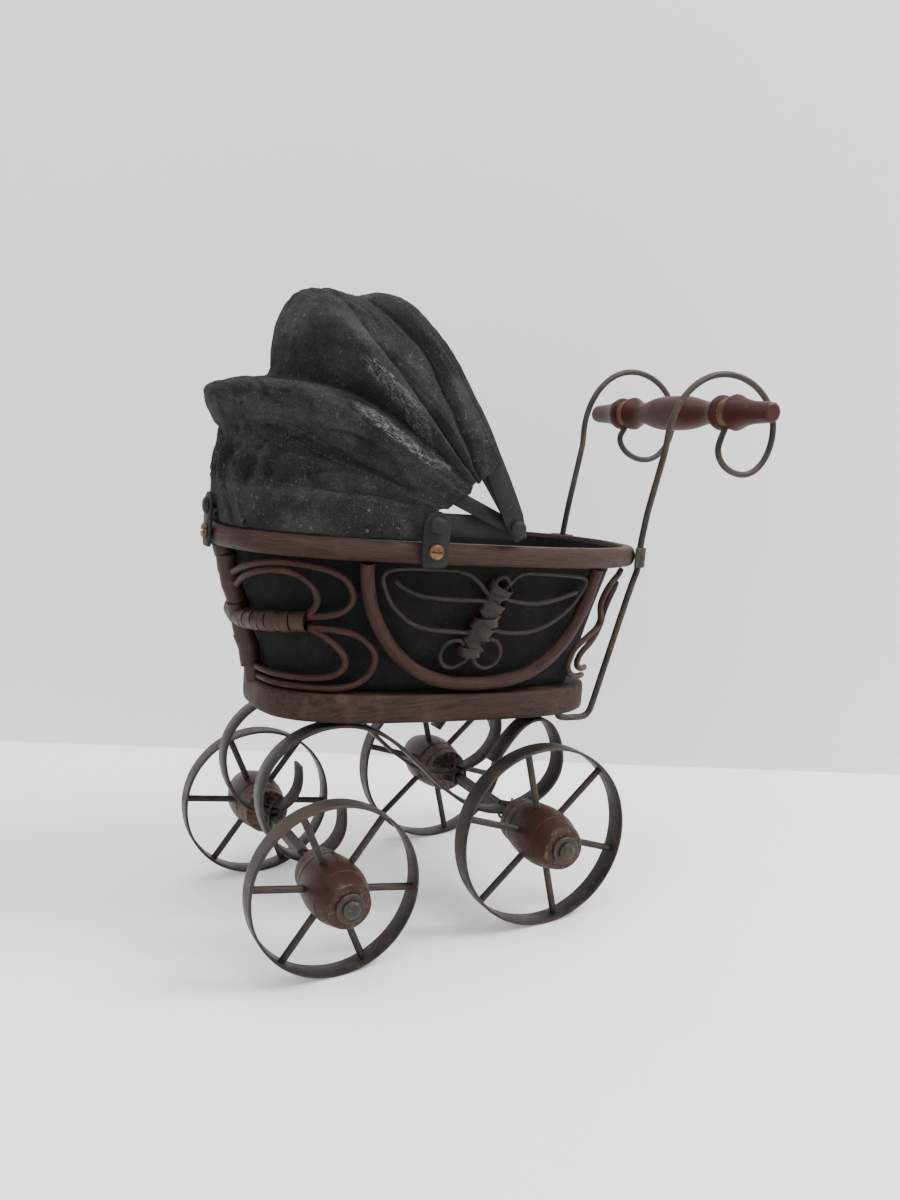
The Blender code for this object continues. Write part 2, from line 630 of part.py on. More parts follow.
def handle_path(side):
    """Foot under the plank, past the rim, over the top loop and back up into the grip's groove."""
    seat, outward = rim_seat(side)
    seat = seat + outward * (WIRE_R + TOUCH_GAP)
    foot_y = side * FOOT_SPACING / 2
    loop_y = side * HANDLE_SPACING / 2
    foot_z = -PLANK_THICK - WIRE_R - TOUCH_GAP
    tip_z = -PLANK_THICK + FOOT_PEG
    path = [Vector((FOOT_START, foot_y, tip_z)), Vector((FOOT_START, foot_y, foot_z + 2)),
            Vector((FOOT_START + 0.6, foot_y, foot_z + 0.6)), Vector((FOOT_START + 2, foot_y, foot_z)),
            Vector((FOOT_BEND - 6, foot_y, foot_z))]
    path += quarter((FOOT_BEND - 4, foot_z + 4), 4, 4, -90, -20, 3, foot_y)
    rise = Vector((0, 0, CLAMP_TALL / 2 + 0.6))
    path += smooth([path[-1], seat - Vector((4.2, 0, 18)), seat - rise], 3)[1:]
    path += [seat + rise, seat + Vector((2.0, 0, 20))]
    right = side > 0
    middle_x = HANDLE_X - 2 + (RIGHT_LOOP_SHIFT if right else 0)
    middle_z = HANDLE_Z - 7 + (RIGHT_LOOP_LIFT if right else 0)
    reach = LOOP_REACH - (RIGHT_LOOP_TRIM if right else 0)
    far_x = middle_x + LOOP_FAR_REACH - (RIGHT_LOOP_TRIM / 2 if right else 0)
    curl_x = (far_x + HANDLE_X - 4.5) / 2
    curl = far_x - curl_x
    path.append(Vector((middle_x - reach - 0.3, loop_y * 0.98, middle_z - 15)))
    path += quarter((middle_x, middle_z - 9), reach, LOOP_RISE + 16, 180, 90, 7, loop_y)
    path += quarter((middle_x, middle_z), far_x - middle_x, LOOP_RISE + 7, 90, 0, 7, loop_y)[1:]
    path += quarter((curl_x, middle_z), curl, 20.6, 0, -90, 6, loop_y)[1:]
    path += quarter((curl_x, middle_z - 9), curl, 11.6, -90, -180, 5, loop_y)[1:]
    inside = HANDLE_Z - GRIP_GROOVE_R + WIRE_SOCKET_DEPTH - TOUCH_GAP
    path += [Vector((HANDLE_X - 2.2, loop_y, HANDLE_Z - GRIP_GROOVE_R - 3)), Vector((HANDLE_X, loop_y, inside))]
    return path


def handle(body):
    """Two bent wires, their clamps on the rim, and the turned grip."""
    middle = empty("grip_axis", (HANDLE_X, 0, HANDLE_Z), body)
    groove = HANDLE_SPACING / 2
    end = GRIP_LENGTH / 2
    half = [(GRIP_BULGE_R, 0), (GRIP_BULGE_R - 0.3, groove - 30), (GRIP_BULGE_R - 2, groove - 21),
            (GRIP_NECK_R, groove - 13), (GRIP_NECK_R + 1.4, groove - 8.5), (GRIP_COLLAR_R, groove - 5),
            (GRIP_GROOVE_R, groove - 1.6), (GRIP_GROOVE_R, groove + 1.6), (GRIP_COLLAR_R, groove + 5.5),
            (GRIP_NECK_R + 1, groove + 12), (GRIP_END_R, end - 1), (GRIP_END_R - 0.8, end), (0, end)]
    profile = [(r, -y) for r, y in reversed(half[1:])] + half
    grip = lathe("handle_grip", profile, 12, "hub_wood", middle)
    holes = []
    for side in (-1, 1):
        y = side * groove
        holes.append(((-3.2, y, -GRIP_GROOVE_R - 4.5), (0, y, -GRIP_GROOVE_R + WIRE_SOCKET_DEPTH + 0.3)))
    cut(grip, cylinders("wire_sockets", holes, WIRE_R + 2 * TOUCH_GAP, middle, 8))
    for word, side in (("left", -1), ("right", 1)):
        rod("handle_wire_" + word, handle_path(side), WIRE_R, "iron", body, 6, False, (0, 1, 0))
        seat, outward = rim_seat(side)
        tangent = Vector((-outward.y, outward.x, 0))
        core = seat + outward * (WIRE_R + TOUCH_GAP)
        bend = WIRE_R + TOUCH_GAP + CLAMP_THICK / 2
        skin = CLAMP_THICK / 2 + TOUCH_GAP
        path = [seat + outward * skin - tangent * (bend + CLAMP_FLANGE), seat + outward * skin - tangent * bend]
        for i in range(7):
            angle = math.pi * i / 6
            path.append(core - tangent * (bend * math.cos(angle)) + outward * (bend * math.sin(angle)))
        path += [seat + outward * skin + tangent * bend, seat + outward * skin + tangent * (bend + CLAMP_FLANGE)]
        strip("handle_clamp_" + word, path, CLAMP_THICK, CLAMP_TALL, (0, 0, 1), "iron", body)


def bow_reach(turn, half_wide, reach, power=2.0):
    """One point of a bow as (y, distance from the pivot line); turn runs from 0 at the left to pi at the right."""
    across, out = oval_point(turn, half_wide, reach - BOW_STUB, power)
    return -across, BOW_STUB + out


def bow_leg(layer):
    """Half the distance between a bow's legs; the hoop is layer 0 and each bow lies outside the one before."""
    return HOOP_B + LEG_SPRING + layer * STACK_STEP


def bow(name, angle, reach, wide, layer, pivot):
    """A flat strip bent into an arch, its legs pierced by the pivot."""
    lean = math.radians(angle)
    radial = Vector((math.cos(lean), 0, math.sin(lean)))
    normal = Vector((-math.sin(lean), 0, math.cos(lean)))
    half = bow_leg(layer)
    path = [radial * -BOW_STUB + Vector((0, -half, 0)), radial * BOW_STUB + Vector((0, -half, 0))]
    for i in range(1, 20):
        y, out = bow_reach(math.pi * i / 20, half, reach)
        path.append(radial * out + Vector((0, y, 0)))
    path += [radial * BOW_STUB + Vector((0, half, 0)), radial * -BOW_STUB + Vector((0, half, 0))]
    item = strip(name, path, STRIP_THICK, wide, normal, "hood_metal", pivot)
    pegs = [((0, s * (half - 3), 0), (0, s * (half + 3), 0)) for s in (-1, 1)]
    cut(item, cylinders(name + "_holes", pegs, PIVOT_SHANK_R + RUN_GAP, pivot))
    return item


def hoop_arc(offset, z, start_x, count):
    """The hood end of the rim's outline, from a station on the left side round to the same one on the right."""
    half_x, half_y = HOOP_A + offset, HOOP_B + offset
    start = math.acos(max(-1.0, min(1.0, math.copysign(abs(start_x / half_x) ** (RIM_POWER / 2), start_x))))
    return oval(half_x, half_y, RIM_POWER, z, count, -start, start - 2 * math.pi, closed=False)


def fastener(name, look, place, outward, body, head_r, reach, head_tall=HEAD_TALL, slot=False):
    """A domed head standing on a face, with a shank that reaches back from it."""
    frame = empty(name + "_seat", place, body)
    frame.rotation_euler = Vector((0, 1, 0)).rotation_difference(outward).to_euler()
    profile = [(0, -reach), (SHANK_R, -reach), (SHANK_R, TOUCH_GAP), (head_r, TOUCH_GAP),
               (head_r, TOUCH_GAP + 0.5 * head_tall), (0.6 * head_r, TOUCH_GAP + head_tall),
               (0, TOUCH_GAP + head_tall)]
    item = lathe(name, profile, 8, look, frame)
    if slot:
        bm = bmesh.new()
        deep = TOUCH_GAP + 0.6 * head_tall
        high = TOUCH_GAP + head_tall + 1
        sweep(bm, [Vector((0, deep, 0)), Vector((0, high, 0))], flat_section(0.8, 3 * head_r), False, (0, 0, 1))
        cut(item, piece(name + "_slot", bm, look, frame))
    return item


def bracket(word, place, outward, body, hoop, rim):
    """A short strap from the rim up to the hoop, with a rivet above and a screw below."""
    tangent = outward.cross(Vector((0, 0, 1)))
    middle = place + outward * (BRACKET_THICK / 2 + TOUCH_GAP)
    top = Vector((0, 0, PIVOT_Z + BRACKET_WIDE / 2 - place.z))
    path = [middle + top, middle + top - Vector((0, 0, BRACKET_TALL))]
    strap = strip("hood_bracket_" + word, path, BRACKET_THICK, BRACKET_WIDE, tangent, "hood_metal", body)
    holes = []
    for z in (PIVOT_Z, RIM_TOP - RIM_TALL / 2 + 1.0):
        core = Vector((place.x, place.y, z))
        holes.append((core - outward * (RIM_DEEP + 4), core + outward * 4))
    face = BRACKET_THICK + TOUCH_GAP
    rivet_reach = face + RIM_DEEP / 2 + HOOP_INSET + STRIP_THICK / 2 + 0.5
    fastener("bracket_rivet_" + word, "hood_metal", Vector((place.x, place.y, PIVOT_Z)) + outward * face, outward,
             body, RIVET_HEAD_R, rivet_reach)
    screw_z = RIM_TOP - RIM_TALL / 2 + 1.0
    fastener("bracket_screw_" + word, "screw_bronze", Vector((place.x, place.y, screw_z)) + outward * face, outward,
             body, SCREW_HEAD_R, face + SCREW_DEPTH, slot=True)
    guide = cylinders("bracket_holes_" + word, holes, SHANK_R + TOUCH_GAP, body)
    for target in (strap, hoop, rim):
        cut(target, guide)
    return guide


def cloth(name, rows, parent):
    """A closed solid of even thickness from rows of points, its outside on the given surface."""
    bm = bmesh.new()
    grid = [[bm.verts.new(point) for point in row] for row in rows]
    for lower, upper in zip(grid, grid[1:]):
        for i in range(len(lower) - 1):
            bm.faces.new((lower[i], lower[i + 1], upper[i + 1], upper[i]))
    item = piece(name, bm, "hood_cloth", parent)
    thicken = item.modifiers.new("thickness", "SOLIDIFY")
    thicken.thickness = CLOTH_THICK * MM
    thicken.offset = 0.0
    thicken.use_even_offset = True
    return item


def cloth_row(angle, reach, half_wide, power, count=17):
    """One rib line of the hood's cloth, relative to the pivot; its ends stop above the bare part of the legs."""
    lean = math.radians(angle)
    low = BOW_LEG_BARE + 12 * (angle - BOW_FRONT_ANGLE) / (180 - BOW_FRONT_ANGLE)
    start = math.asin(((low - BOW_STUB) / (reach - BOW_STUB)) ** (power / 2))
    row = []
    for i in range(count):
        y, out = bow_reach(start + (math.pi - 2 * start) * i / (count - 1), half_wide, reach, power)
        row.append(Vector((out * math.cos(lean), y, out * math.sin(lean))))
    return row


def hood(body):
    """Hoop, bows, pivots, brackets and the cloth over them."""
    pivot = empty("hood_axis", (PIVOT_X, 0, PIVOT_Z), body)
    ear_x = PIVOT_X + HOOP_TALL / 2
    hoop_path = hoop_arc(0, PIVOT_Z, ear_x, 30)
    hoop = strip("hood_hoop", hoop_path, STRIP_THICK, HOOP_TALL, (0, 0, 1), "hood_metal", body)
    rim = bpy.data.objects["rim_hoop"]
    pegs = [((0, s * (HOOP_B - 4), 0), (0, s * (HOOP_B + 4), 0)) for s in (-1, 1)]
    cut(hoop, cylinders("hoop_holes", pegs, PIVOT_SHANK_R + RUN_GAP, pivot))
    bow("hood_bow_back", BOW_BACK_ANGLE, BOW_BACK_REACH, BOW_BACK_WIDE, 1, pivot)
    bow("hood_bow_middle", BOW_MIDDLE_ANGLE, BOW_MIDDLE_REACH, BOW_MIDDLE_WIDE, 2, pivot)
    bow("hood_bow_front", BOW_FRONT_ANGLE, BOW_FRONT_REACH, BOW_FRONT_WIDE, 3, pivot)
    for word, side in (("left", -1), ("right", 1)):
        outside = bow_leg(3) + STRIP_THICK / 2 + STRIP_GAP
        inside = HOOP_B - STRIP_THICK / 2 - STRIP_GAP
        profile = [(0, inside - PIVOT_HEAD_TALL), (PIVOT_HEAD_R * 0.7, inside - PIVOT_HEAD_TALL),
                   (PIVOT_HEAD_R * 0.7, inside), (PIVOT_SHANK_R, inside), (PIVOT_SHANK_R, outside),
                   (PIVOT_HEAD_R, outside), (PIVOT_HEAD_R, outside + 0.5 * PIVOT_HEAD_TALL),
                   (PIVOT_HEAD_R * 0.6, outside + PIVOT_HEAD_TALL), (0, outside + PIVOT_HEAD_TALL)]
        lathe("hood_pivot_" + word, [(r, side * y) for r, y in profile], 8, "hood_metal", pivot)
    guides = []
    for word, side in (("left", -1), ("right", 1)):
        y = side * RIM_B * (1 - abs(BRACKET_X / RIM_A) ** RIM_POWER) ** (1 / RIM_POWER)
        place = Vector((BRACKET_X, y, RIM_TOP))
        guides.append(bracket(word, place, oval_normal(place, RIM_A, RIM_B, RIM_POWER), body, hoop, rim))
    guides.append(bracket("front", Vector((-RIM_A, 0, RIM_TOP)), Vector((-1, 0, 0)), body, hoop, rim))
    hood_cloth(body, pivot, guides[2:])


def hood_cloth(body, pivot, guides):
    """The skirt on the hoop and the three spans of cloth, each carried by its own bow."""
    stand = STRIP_THICK / 2 + CLOTH_GAP + CLOTH_THICK / 2
    skirt_x = BRACKET_X - BRACKET_WIDE / 2 - 1.0
    lower = hoop_arc(stand, RIM_TOP + TOUCH_GAP + 0.4, skirt_x, 25)
    slope = math.tan(math.radians(SKIRT_LEAN - 1.0))
    upper = [Vector((p.x, p.y, PIVOT_Z + (PIVOT_X - p.x) * slope)) for p in lower]
    skirt = cloth("hood_skirt", [lower, upper], body)
    for guide in guides:
        cut(skirt, guide)
    front, middle, back = BOW_FRONT_ANGLE, BOW_MIDDLE_ANGLE, BOW_BACK_ANGLE
    front_half, back_half = bow_leg(3) + stand, bow_leg(1) + stand
    front_out, middle_out, back_out = (reach + stand for reach in (BOW_FRONT_REACH, BOW_MIDDLE_REACH, BOW_BACK_REACH))
    seam = (front + middle) / 2
    valley = (middle + back) / 2 + 7.3
    last = 180 - SKIRT_LEAN
    spans = {
        "front": [(front - 3.2, front_out + 0.2), (front, front_out + 0.8), (seam - 0.4, front_out + 0.3)],
        "middle": [(seam + 0.4, front_out + 0.3), (middle - 2, middle_out + 0.8), (middle + 2.4, middle_out + 0.8),
                   (middle + 4, middle_out + 8), (middle + 7.5, middle_out + 13), (middle + 12, middle_out + 12.6),
                   (middle + 18, middle_out + 6), (valley - 0.4, middle_out)],
        "back": [(valley + 0.4, middle_out), (back - 5, back_out - 3), (back - 1.5, back_out + 1.5),
                 (back + 3, back_out + 1.5), (back + 7, back_out - 4), (last - 4, back_out - 6.5),
                 (last, back_out - 6.8)],
    }
    for word, ribs in spans.items():
        rows = []
        for angle, reach in ribs:
            k = min(1, max(0, (angle - middle - 2.4) / (back - 5 - middle - 2.4)))
            half = front_half + (back_half - front_half) * k
            power = 2.0 + 0.3 * max(0, (angle - back - 3) / (last - back - 3))
            rows.append(cloth_row(angle, reach, half, power))
        cloth("hood_cover_" + word, rows, pivot)


def main():
    """Build the pram and stand it on the floor with its middle over the origin."""
    clear_scene()
    ground = empty("pram")
    body = empty("body_frame", (BODY_X, 0, PLANK_Z), ground, (0, BODY_TILT, 0))
    undercarriage(ground)
    basket(body)
    handle(body)
    hood(body)
    bpy.context.view_layer.update()
    stations = []
    for item in bpy.context.scene.objects:
        if item.type == "MESH" and not item.hide_render:
            stations += [(item.matrix_world @ vert.co).x for vert in item.data.vertices]
    ground.location.x = -(min(stations) + max(stations)) / 2


main()
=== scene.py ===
import logging
import math
from dataclasses import dataclass, field
from enum import Enum
from typing import Callable, Iterable, Sequence, Union

import bmesh
import bpy
from mathutils import Matrix, Vector, noise


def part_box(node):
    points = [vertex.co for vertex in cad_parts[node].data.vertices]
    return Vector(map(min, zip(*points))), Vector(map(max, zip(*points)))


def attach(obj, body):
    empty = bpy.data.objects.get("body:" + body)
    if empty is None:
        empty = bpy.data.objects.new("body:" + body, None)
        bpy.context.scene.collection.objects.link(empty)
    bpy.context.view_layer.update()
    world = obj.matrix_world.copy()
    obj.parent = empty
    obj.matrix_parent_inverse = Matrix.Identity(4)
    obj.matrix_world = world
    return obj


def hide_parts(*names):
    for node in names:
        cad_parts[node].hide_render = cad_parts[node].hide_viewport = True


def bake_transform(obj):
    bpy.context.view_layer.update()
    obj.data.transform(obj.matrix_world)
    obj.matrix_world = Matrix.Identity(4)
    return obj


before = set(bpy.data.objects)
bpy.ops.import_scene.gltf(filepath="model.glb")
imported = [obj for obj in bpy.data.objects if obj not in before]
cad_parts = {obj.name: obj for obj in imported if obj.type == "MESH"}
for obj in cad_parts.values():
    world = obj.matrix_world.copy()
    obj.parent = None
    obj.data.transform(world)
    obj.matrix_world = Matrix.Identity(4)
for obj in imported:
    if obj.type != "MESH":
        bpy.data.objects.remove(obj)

LOG = logging.getLogger("doll_pram")
MM = 0.001
Colour = tuple[float, float, float]
Section = list[tuple[float, float]]
Path = list[Vector]
Number = Union[float, "Wire"]


class Side(Enum):
    """Which side of the pram a piece is on, seen by the pusher."""

    LEFT = -1
    RIGHT = 1

    @property
    def word(self) -> str:
        """The side's word in node names."""
        return self.name.lower()


class End(Enum):
    """Which axle a wheel turns on."""

    FRONT = "front"
    REAR = "rear"


# ---------------------------------------------------------------- shader maths


class Wire:
    """A shader socket that can be used in expressions."""

    def __init__(self, shader: "Shader", socket: bpy.types.NodeSocket) -> None:
        """Keep the socket and the shader it belongs to."""
        self.shader = shader
        self.socket = socket

    def _math(self, operation: str, first: Number, second: Number) -> "Wire":
        """Add one Math node and return its result."""
        return self.shader.node("ShaderNodeMath", {"operation": operation}, {0: first, 1: second})

    def __add__(self, other: Number) -> "Wire":
        """Sum."""
        return self._math("ADD", self, other)

    __radd__ = __add__

    def __sub__(self, other: Number) -> "Wire":
        """Difference."""
        return self._math("SUBTRACT", self, other)

    def __rsub__(self, other: Number) -> "Wire":
        """Difference from a number."""
        return self._math("SUBTRACT", other, self)

    def __mul__(self, other: Number) -> "Wire":
        """Product."""
        return self._math("MULTIPLY", self, other)

    __rmul__ = __mul__

    def power(self, other: Number) -> "Wire":
        """This value raised to a power."""
        return self._math("POWER", self, other)

    def step(self, low: float, high: float) -> "Wire":
        """A smooth rise from 0 at low to 1 at high."""
        settings = {"interpolation_type": "SMOOTHSTEP"}
        return self.shader.node("ShaderNodeMapRange", settings,
                                {"Value": self, "From Min": low, "From Max": high})


class Shader:
    """Builds one material's node tree."""

    def __init__(self, name: str) -> None:
        """Start a material with a bare Principled shader.

        Args:
            name: The material's name.
        """
        self.material = bpy.data.materials.new(name)
        self.material.use_nodes = True
        self.tree = self.material.node_tree
        self.surface = self.tree.nodes["Principled BSDF"]

    def node(self, kind: str, settings: dict[str, object] | None = None,
             inputs: dict[str | int, object] | None = None, output: str | int = 0) -> Wire:
        """Add one node of any kind.

        Args:
            kind: The node's type name.
            settings: Its properties, and a ramp's stops.
            inputs: Values or wires for its sockets, by name or number.
            output: Which output to return.

        Returns:
            The chosen output, ready for expressions.
        """
        made = self.tree.nodes.new(kind)
        for key, value in (settings or {}).items():
            if key == "stops":
                self._stops(made.color_ramp, value)
            else:
                setattr(made, key, value)
        for key, value in (inputs or {}).items():
            self.feed(made.inputs[key], value)
        return Wire(self, made.outputs[output])

    @staticmethod
    def _stops(ramp: bpy.types.ColorRamp, stops: Iterable[tuple[float, Colour]]) -> None:
        """Set a ramp's stops.

        Args:
            ramp: The ramp.
            stops: Pairs of place and colour.
        """
        for i, (place, colour) in enumerate(stops):
            stop = ramp.elements[i] if i < 2 else ramp.elements.new(place)
            stop.position = place
            stop.color = (*colour, 1.0)

    def feed(self, socket: bpy.types.NodeSocket, value: object) -> None:
        """Link a wire to a socket, or set its value.

        Args:
            socket: The input.
            value: A wire, a socket or a plain value.
        """
        if isinstance(value, Wire):
            self.tree.links.new(value.socket, socket)
        elif isinstance(value, tuple) and socket.type == "RGBA":
            socket.default_value = (*value[:3], 1.0)
        else:
            socket.default_value = value

    def place(self, scale: tuple[float, float, float] = (1, 1, 1), uv: bool = False) -> Wire:
        """Millimetre coordinates of the piece, or of its own unwrapping, stretched by scale.

        Args:
            scale: Stretch along X, Y and Z.
            uv: Whether to use the piece's unwrapping.

        Returns:
            The coordinates.
        """
        kind = "UV" if uv else "Object"
        raw = self.node("ShaderNodeTexCoord", output=kind)
        stretch = tuple((1.0 if uv else 1000.0) * s for s in scale)
        return self.node("ShaderNodeMapping", inputs={"Vector": raw, "Scale": stretch})

    def noise(self, vector: Wire, size: float, detail: float = 3.0, rough: float = 0.55) -> Wire:
        """Noise whose lumps are about size millimetres across."""
        sockets = {"Vector": vector, "Scale": 1.0 / size, "Detail": detail, "Roughness": rough}
        return self.node("ShaderNodeTexNoise", inputs=sockets)

    def cells(self, vector: Wire, size: float, feature: str = "F1") -> Wire:
        """Distance to scattered points about size millimetres apart."""
        return self.node("ShaderNodeTexVoronoi", {"feature": feature},
                         {"Vector": vector, "Scale": 1.0 / size})

    def attribute(self, name: str) -> Wire:
        """A number painted on the piece's points."""
        return self.node("ShaderNodeAttribute", {"attribute_name": name}, output="Fac")

    def mix(self, share: Number, first: object, second: object) -> Wire:
        """Blend two colours."""
        sockets = {0: share, 6: first, 7: second}
        return self.node("ShaderNodeMix", {"data_type": "RGBA"}, sockets, 2)

    def bump(self, height: Wire, depth: float, strength: float = 1.0) -> Wire:
        """A normal from a height between 0 and 1, depth millimetres high."""
        return self.node("ShaderNodeBump",
                         inputs={"Height": height, "Distance": depth * MM, "Strength": strength})

    def set(self, **sockets: object) -> None:
        """Set or link the surface's sockets; an underscore stands for a space."""
        for name, value in sockets.items():
            self.feed(self.surface.inputs[name.replace("_", " ")], value)


# ---------------------------------------------------------------- finishes


@dataclass(frozen=True)
class Finish:
    """A surface finish: its name, the record's slot it belongs to, and its main colour."""

    name: str
    slot: str
    colour: Colour

    def paint(self, shader: Shader) -> None:
        """Give the shader its nodes."""
        shader.set(Base_Color=self.colour)

    def material(self) -> bpy.types.Material:
        """The finish's material, made once.

        Returns:
            The material.
        """
        known = bpy.data.materials.get(self.name)
        if known:
            return known
        shader = Shader(self.name)
        self.paint(shader)
        return shader.material


@dataclass(frozen=True)
class Iron(Finish):
    """Old blackened iron with brown rust and rubbed high spots."""

    rust: Colour = (0.085, 0.047, 0.03)
    rubbed: Colour = (0.2, 0.185, 0.17)

    def paint(self, shader: Shader) -> None:
        """Rust in patches, rubbed metal where the noise peaks, a fine pitted bump.

        Args:
            shader: The material being built.
        """
        where = shader.place()
        broad = shader.noise(where, 9, 4, 0.6)
        fine = shader.noise(where, 0.9, 3, 0.6)
        rusted = (broad * 0.7 + fine * 0.3).step(0.47, 0.6)
        rub = (shader.noise(where, 3.2, 5, 0.7) + fine * 0.25).step(0.74, 0.84)
        tone = shader.mix(rusted, self.colour, self.rust)
        shader.set(Base_Color=shader.mix(rub * 0.5, tone, self.rubbed), Metallic=0.55 - rusted * 0.4,
                   Roughness=0.5 + rusted * 0.22 - rub * 0.12, Normal=shader.bump(fine + broad, 0.12, 0.7))


@dataclass(frozen=True)
class HubPaint(Finish):
    """Dark red paint on turned wood, scuffed through to pale wood and dirt."""

    bare: Colour = (0.33, 0.22, 0.15)
    dirt: Colour = (0.03, 0.014, 0.012)
    coat: float = 0.15
    wear: float = 0.35

    def paint(self, shader: Shader) -> None:
        """Scuffs round the turning, a worn band where the attribute says, dirt in the low places.

        Args:
            shader: The material being built.
        """
        where = shader.place()
        ring = shader.place((1, 1, 1))
        broad = shader.noise(where, 5, 4, 0.6)
        fine = shader.noise(ring, 0.7, 4, 0.7)
        worn = shader.attribute("worn")
        scuff = (shader.noise(where, 2.2, 5, 0.72) + fine * 0.3 + worn * self.wear).step(0.84, 0.97)
        dirty = broad.step(0.55, 0.68)
        tone = shader.mix(dirty * 0.65, self.colour, self.dirt)
        tone = shader.mix(scuff * 0.75, tone, self.bare)
        shader.set(Base_Color=tone, Roughness=0.36 + fine * 0.25 + scuff * 0.2, Coat_Weight=self.coat,
                   Coat_Roughness=0.12, Specular_IOR_Level=0.22, Normal=shader.bump(fine + broad, 0.2, 0.8))


@dataclass(frozen=True)
class Rattan(Finish):
    """Stained rattan with long streaks along each rod."""

    light: Colour = (0.24, 0.155, 0.125)
    dark: Colour = (0.03, 0.014, 0.012)

    def paint(self, shader: Shader) -> None:
        """Streaks along the rod's length, paler where handled, nicks across.

        Args:
            shader: The material being built.
        """
        along = shader.place((1, 1, 1), uv=True)
        streak = shader.noise(shader.node("ShaderNodeMapping",
                                          inputs={"Vector": along, "Scale": (0.09, 1.6, 1)}),
                              1.0, 5, 0.65)
        fine = shader.noise(shader.node("ShaderNodeMapping",
                                        inputs={"Vector": along, "Scale": (0.3, 5.0, 1)}),
                            1.0, 3, 0.6)
        broad = shader.noise(shader.place(), 11, 3, 0.6)
        rubbed = (streak * 0.6 + broad * 0.5).step(0.56, 0.72)
        deep = (1 - streak).step(0.48, 0.6)
        tone = shader.mix(deep * 0.88, self.colour, self.dark)
        tone = shader.mix(rubbed * 0.42, tone, self.light)
        shader.set(Base_Color=tone, Roughness=0.38 + fine * 0.2 + rubbed * 0.2, Specular_IOR_Level=0.24,
                   Normal=shader.bump(streak + fine * 0.6, 0.45, 1.0))


@dataclass(frozen=True)
class Plank(Finish):
    """Stained board, grain along its length, speckled with dust and knocks."""

    grain: Colour = (0.045, 0.018, 0.015)
    speck: Colour = (0.2, 0.125, 0.1)

    def paint(self, shader: Shader) -> None:
        """Long grain, pale specks and dark pits.

        Args:
            shader: The material being built.
        """
        where = shader.place()
        grain = shader.noise(shader.place((0.05, 1.1, 1.1)), 1.3, 5, 0.62)
        broad = shader.noise(where, 16, 3, 0.55)
        fine = shader.noise(where, 0.5, 3, 0.7)
        speck = shader.noise(where, 1.1, 5, 0.8).step(0.6, 0.7)
        pit = (1 - shader.cells(where, 3.4)).step(0.84, 0.95)
        tone = shader.mix(grain.step(0.4, 0.64), self.colour, self.grain)
        tone = shader.mix(speck * 0.45 + broad.step(0.5, 0.75) * 0.2, tone, self.speck)
        tone = shader.mix(pit * 0.7, tone, self.grain)
        shader.set(Base_Color=tone, Roughness=0.55 + fine * 0.3, Specular_IOR_Level=0.3,
                   Normal=shader.bump(grain + fine * 0.5 - pit, 0.25, 0.8))


@dataclass(frozen=True)
class Cloth(Finish):
    """Felted wool cloth: a tight weave under lint, faded in patches, glossy where its face is worn away, and
    paler there partly from wear and partly as painted sheen.
    """

    faded: Colour = (0.075, 0.07, 0.064)
    thread: Colour = (0.33, 0.32, 0.3)
    # pale tone of the worn threads: partly real wear, partly painted sheen
    wear_and_sheen: Colour = (0.27, 0.27, 0.26)
    weave: float = 0.55
    sheen: float = 0.35

    def paint(self, shader: Shader) -> None:
        """Fading, lint, hairs, weave bump, and worn threads that run across the painted patches, their pale
        colour partly wear and partly painted sheen.

        Args:
            shader: The material being built.
        """
        where = shader.place()
        broad = shader.noise(where, 17, 4, 0.6)
        mottle = shader.noise(where, 2.4, 5, 0.7)
        fuzz = shader.noise(where, 0.35, 3, 0.75)
        hair_a = shader.noise(shader.place((1.0, 0.16, 0.35)), 0.6, 2, 0.6).step(0.64, 0.72)
        hair_b = shader.noise(shader.place((0.2, 1.0, 0.8)), 0.6, 2, 0.6).step(0.65, 0.72)
        lint = shader.noise(where, 0.8, 5, 0.85).step(0.62, 0.7)
        faded = (broad * 0.55 + mottle * 0.45 + shader.attribute("crest") * 0.16).step(0.42, 0.72)
        tone = shader.mix(faded, self.colour, self.faded)
        dusty = fuzz.step(0.46, 0.72) * 0.26 + lint * 0.5 + hair_a * 0.42 + hair_b * 0.36
        specks = dusty * (broad.step(0.35, 0.65) * 0.75 + 0.3)
        tone = shader.mix(specks, tone, self.thread)
        across = shader.place((1, 1, 1), uv=True)
        rows = shader.noise(shader.node("ShaderNodeMapping",
                                        inputs={"Vector": across, "Scale": (1.5, 0.3, 1)}),
                            1.0, 3, 0.6)
        cross = shader.noise(shader.node("ShaderNodeMapping",
                                         inputs={"Vector": across, "Scale": (0.25, 1.5, 1)}),
                             1.0, 2, 0.6)
        rubbed = shader.attribute("worn").step(0.15, 0.6)
        worn = rubbed * (rows.step(0.5, 0.56) * 0.7 + cross.step(0.55, 0.61) * 0.45)
        # worn threads: real wear lowers the roughness below; the pale colour mixed in here is partly worn thread
        # and partly painted sheen
        tone = shader.mix(worn * 0.9, tone, self.wear_and_sheen)
        threads = shader.node("ShaderNodeTexWave", {"wave_type": "BANDS", "bands_direction": "X"},
                              {"Vector": across, "Scale": 1.0 / self.weave, "Distortion": 2.0, "Detail": 2.0})
        height = fuzz * 0.8 + mottle * 0.8 + threads * 0.25 + worn * 1.2
        shader.set(Base_Color=tone, Roughness=0.94 - worn * 0.4, Sheen_Weight=self.sheen, Sheen_Roughness=0.5,
                   Sheen_Tint=(0.9, 0.9, 0.92), Specular_IOR_Level=0.15,
                   Normal=shader.bump(height, 0.52, 1.0))


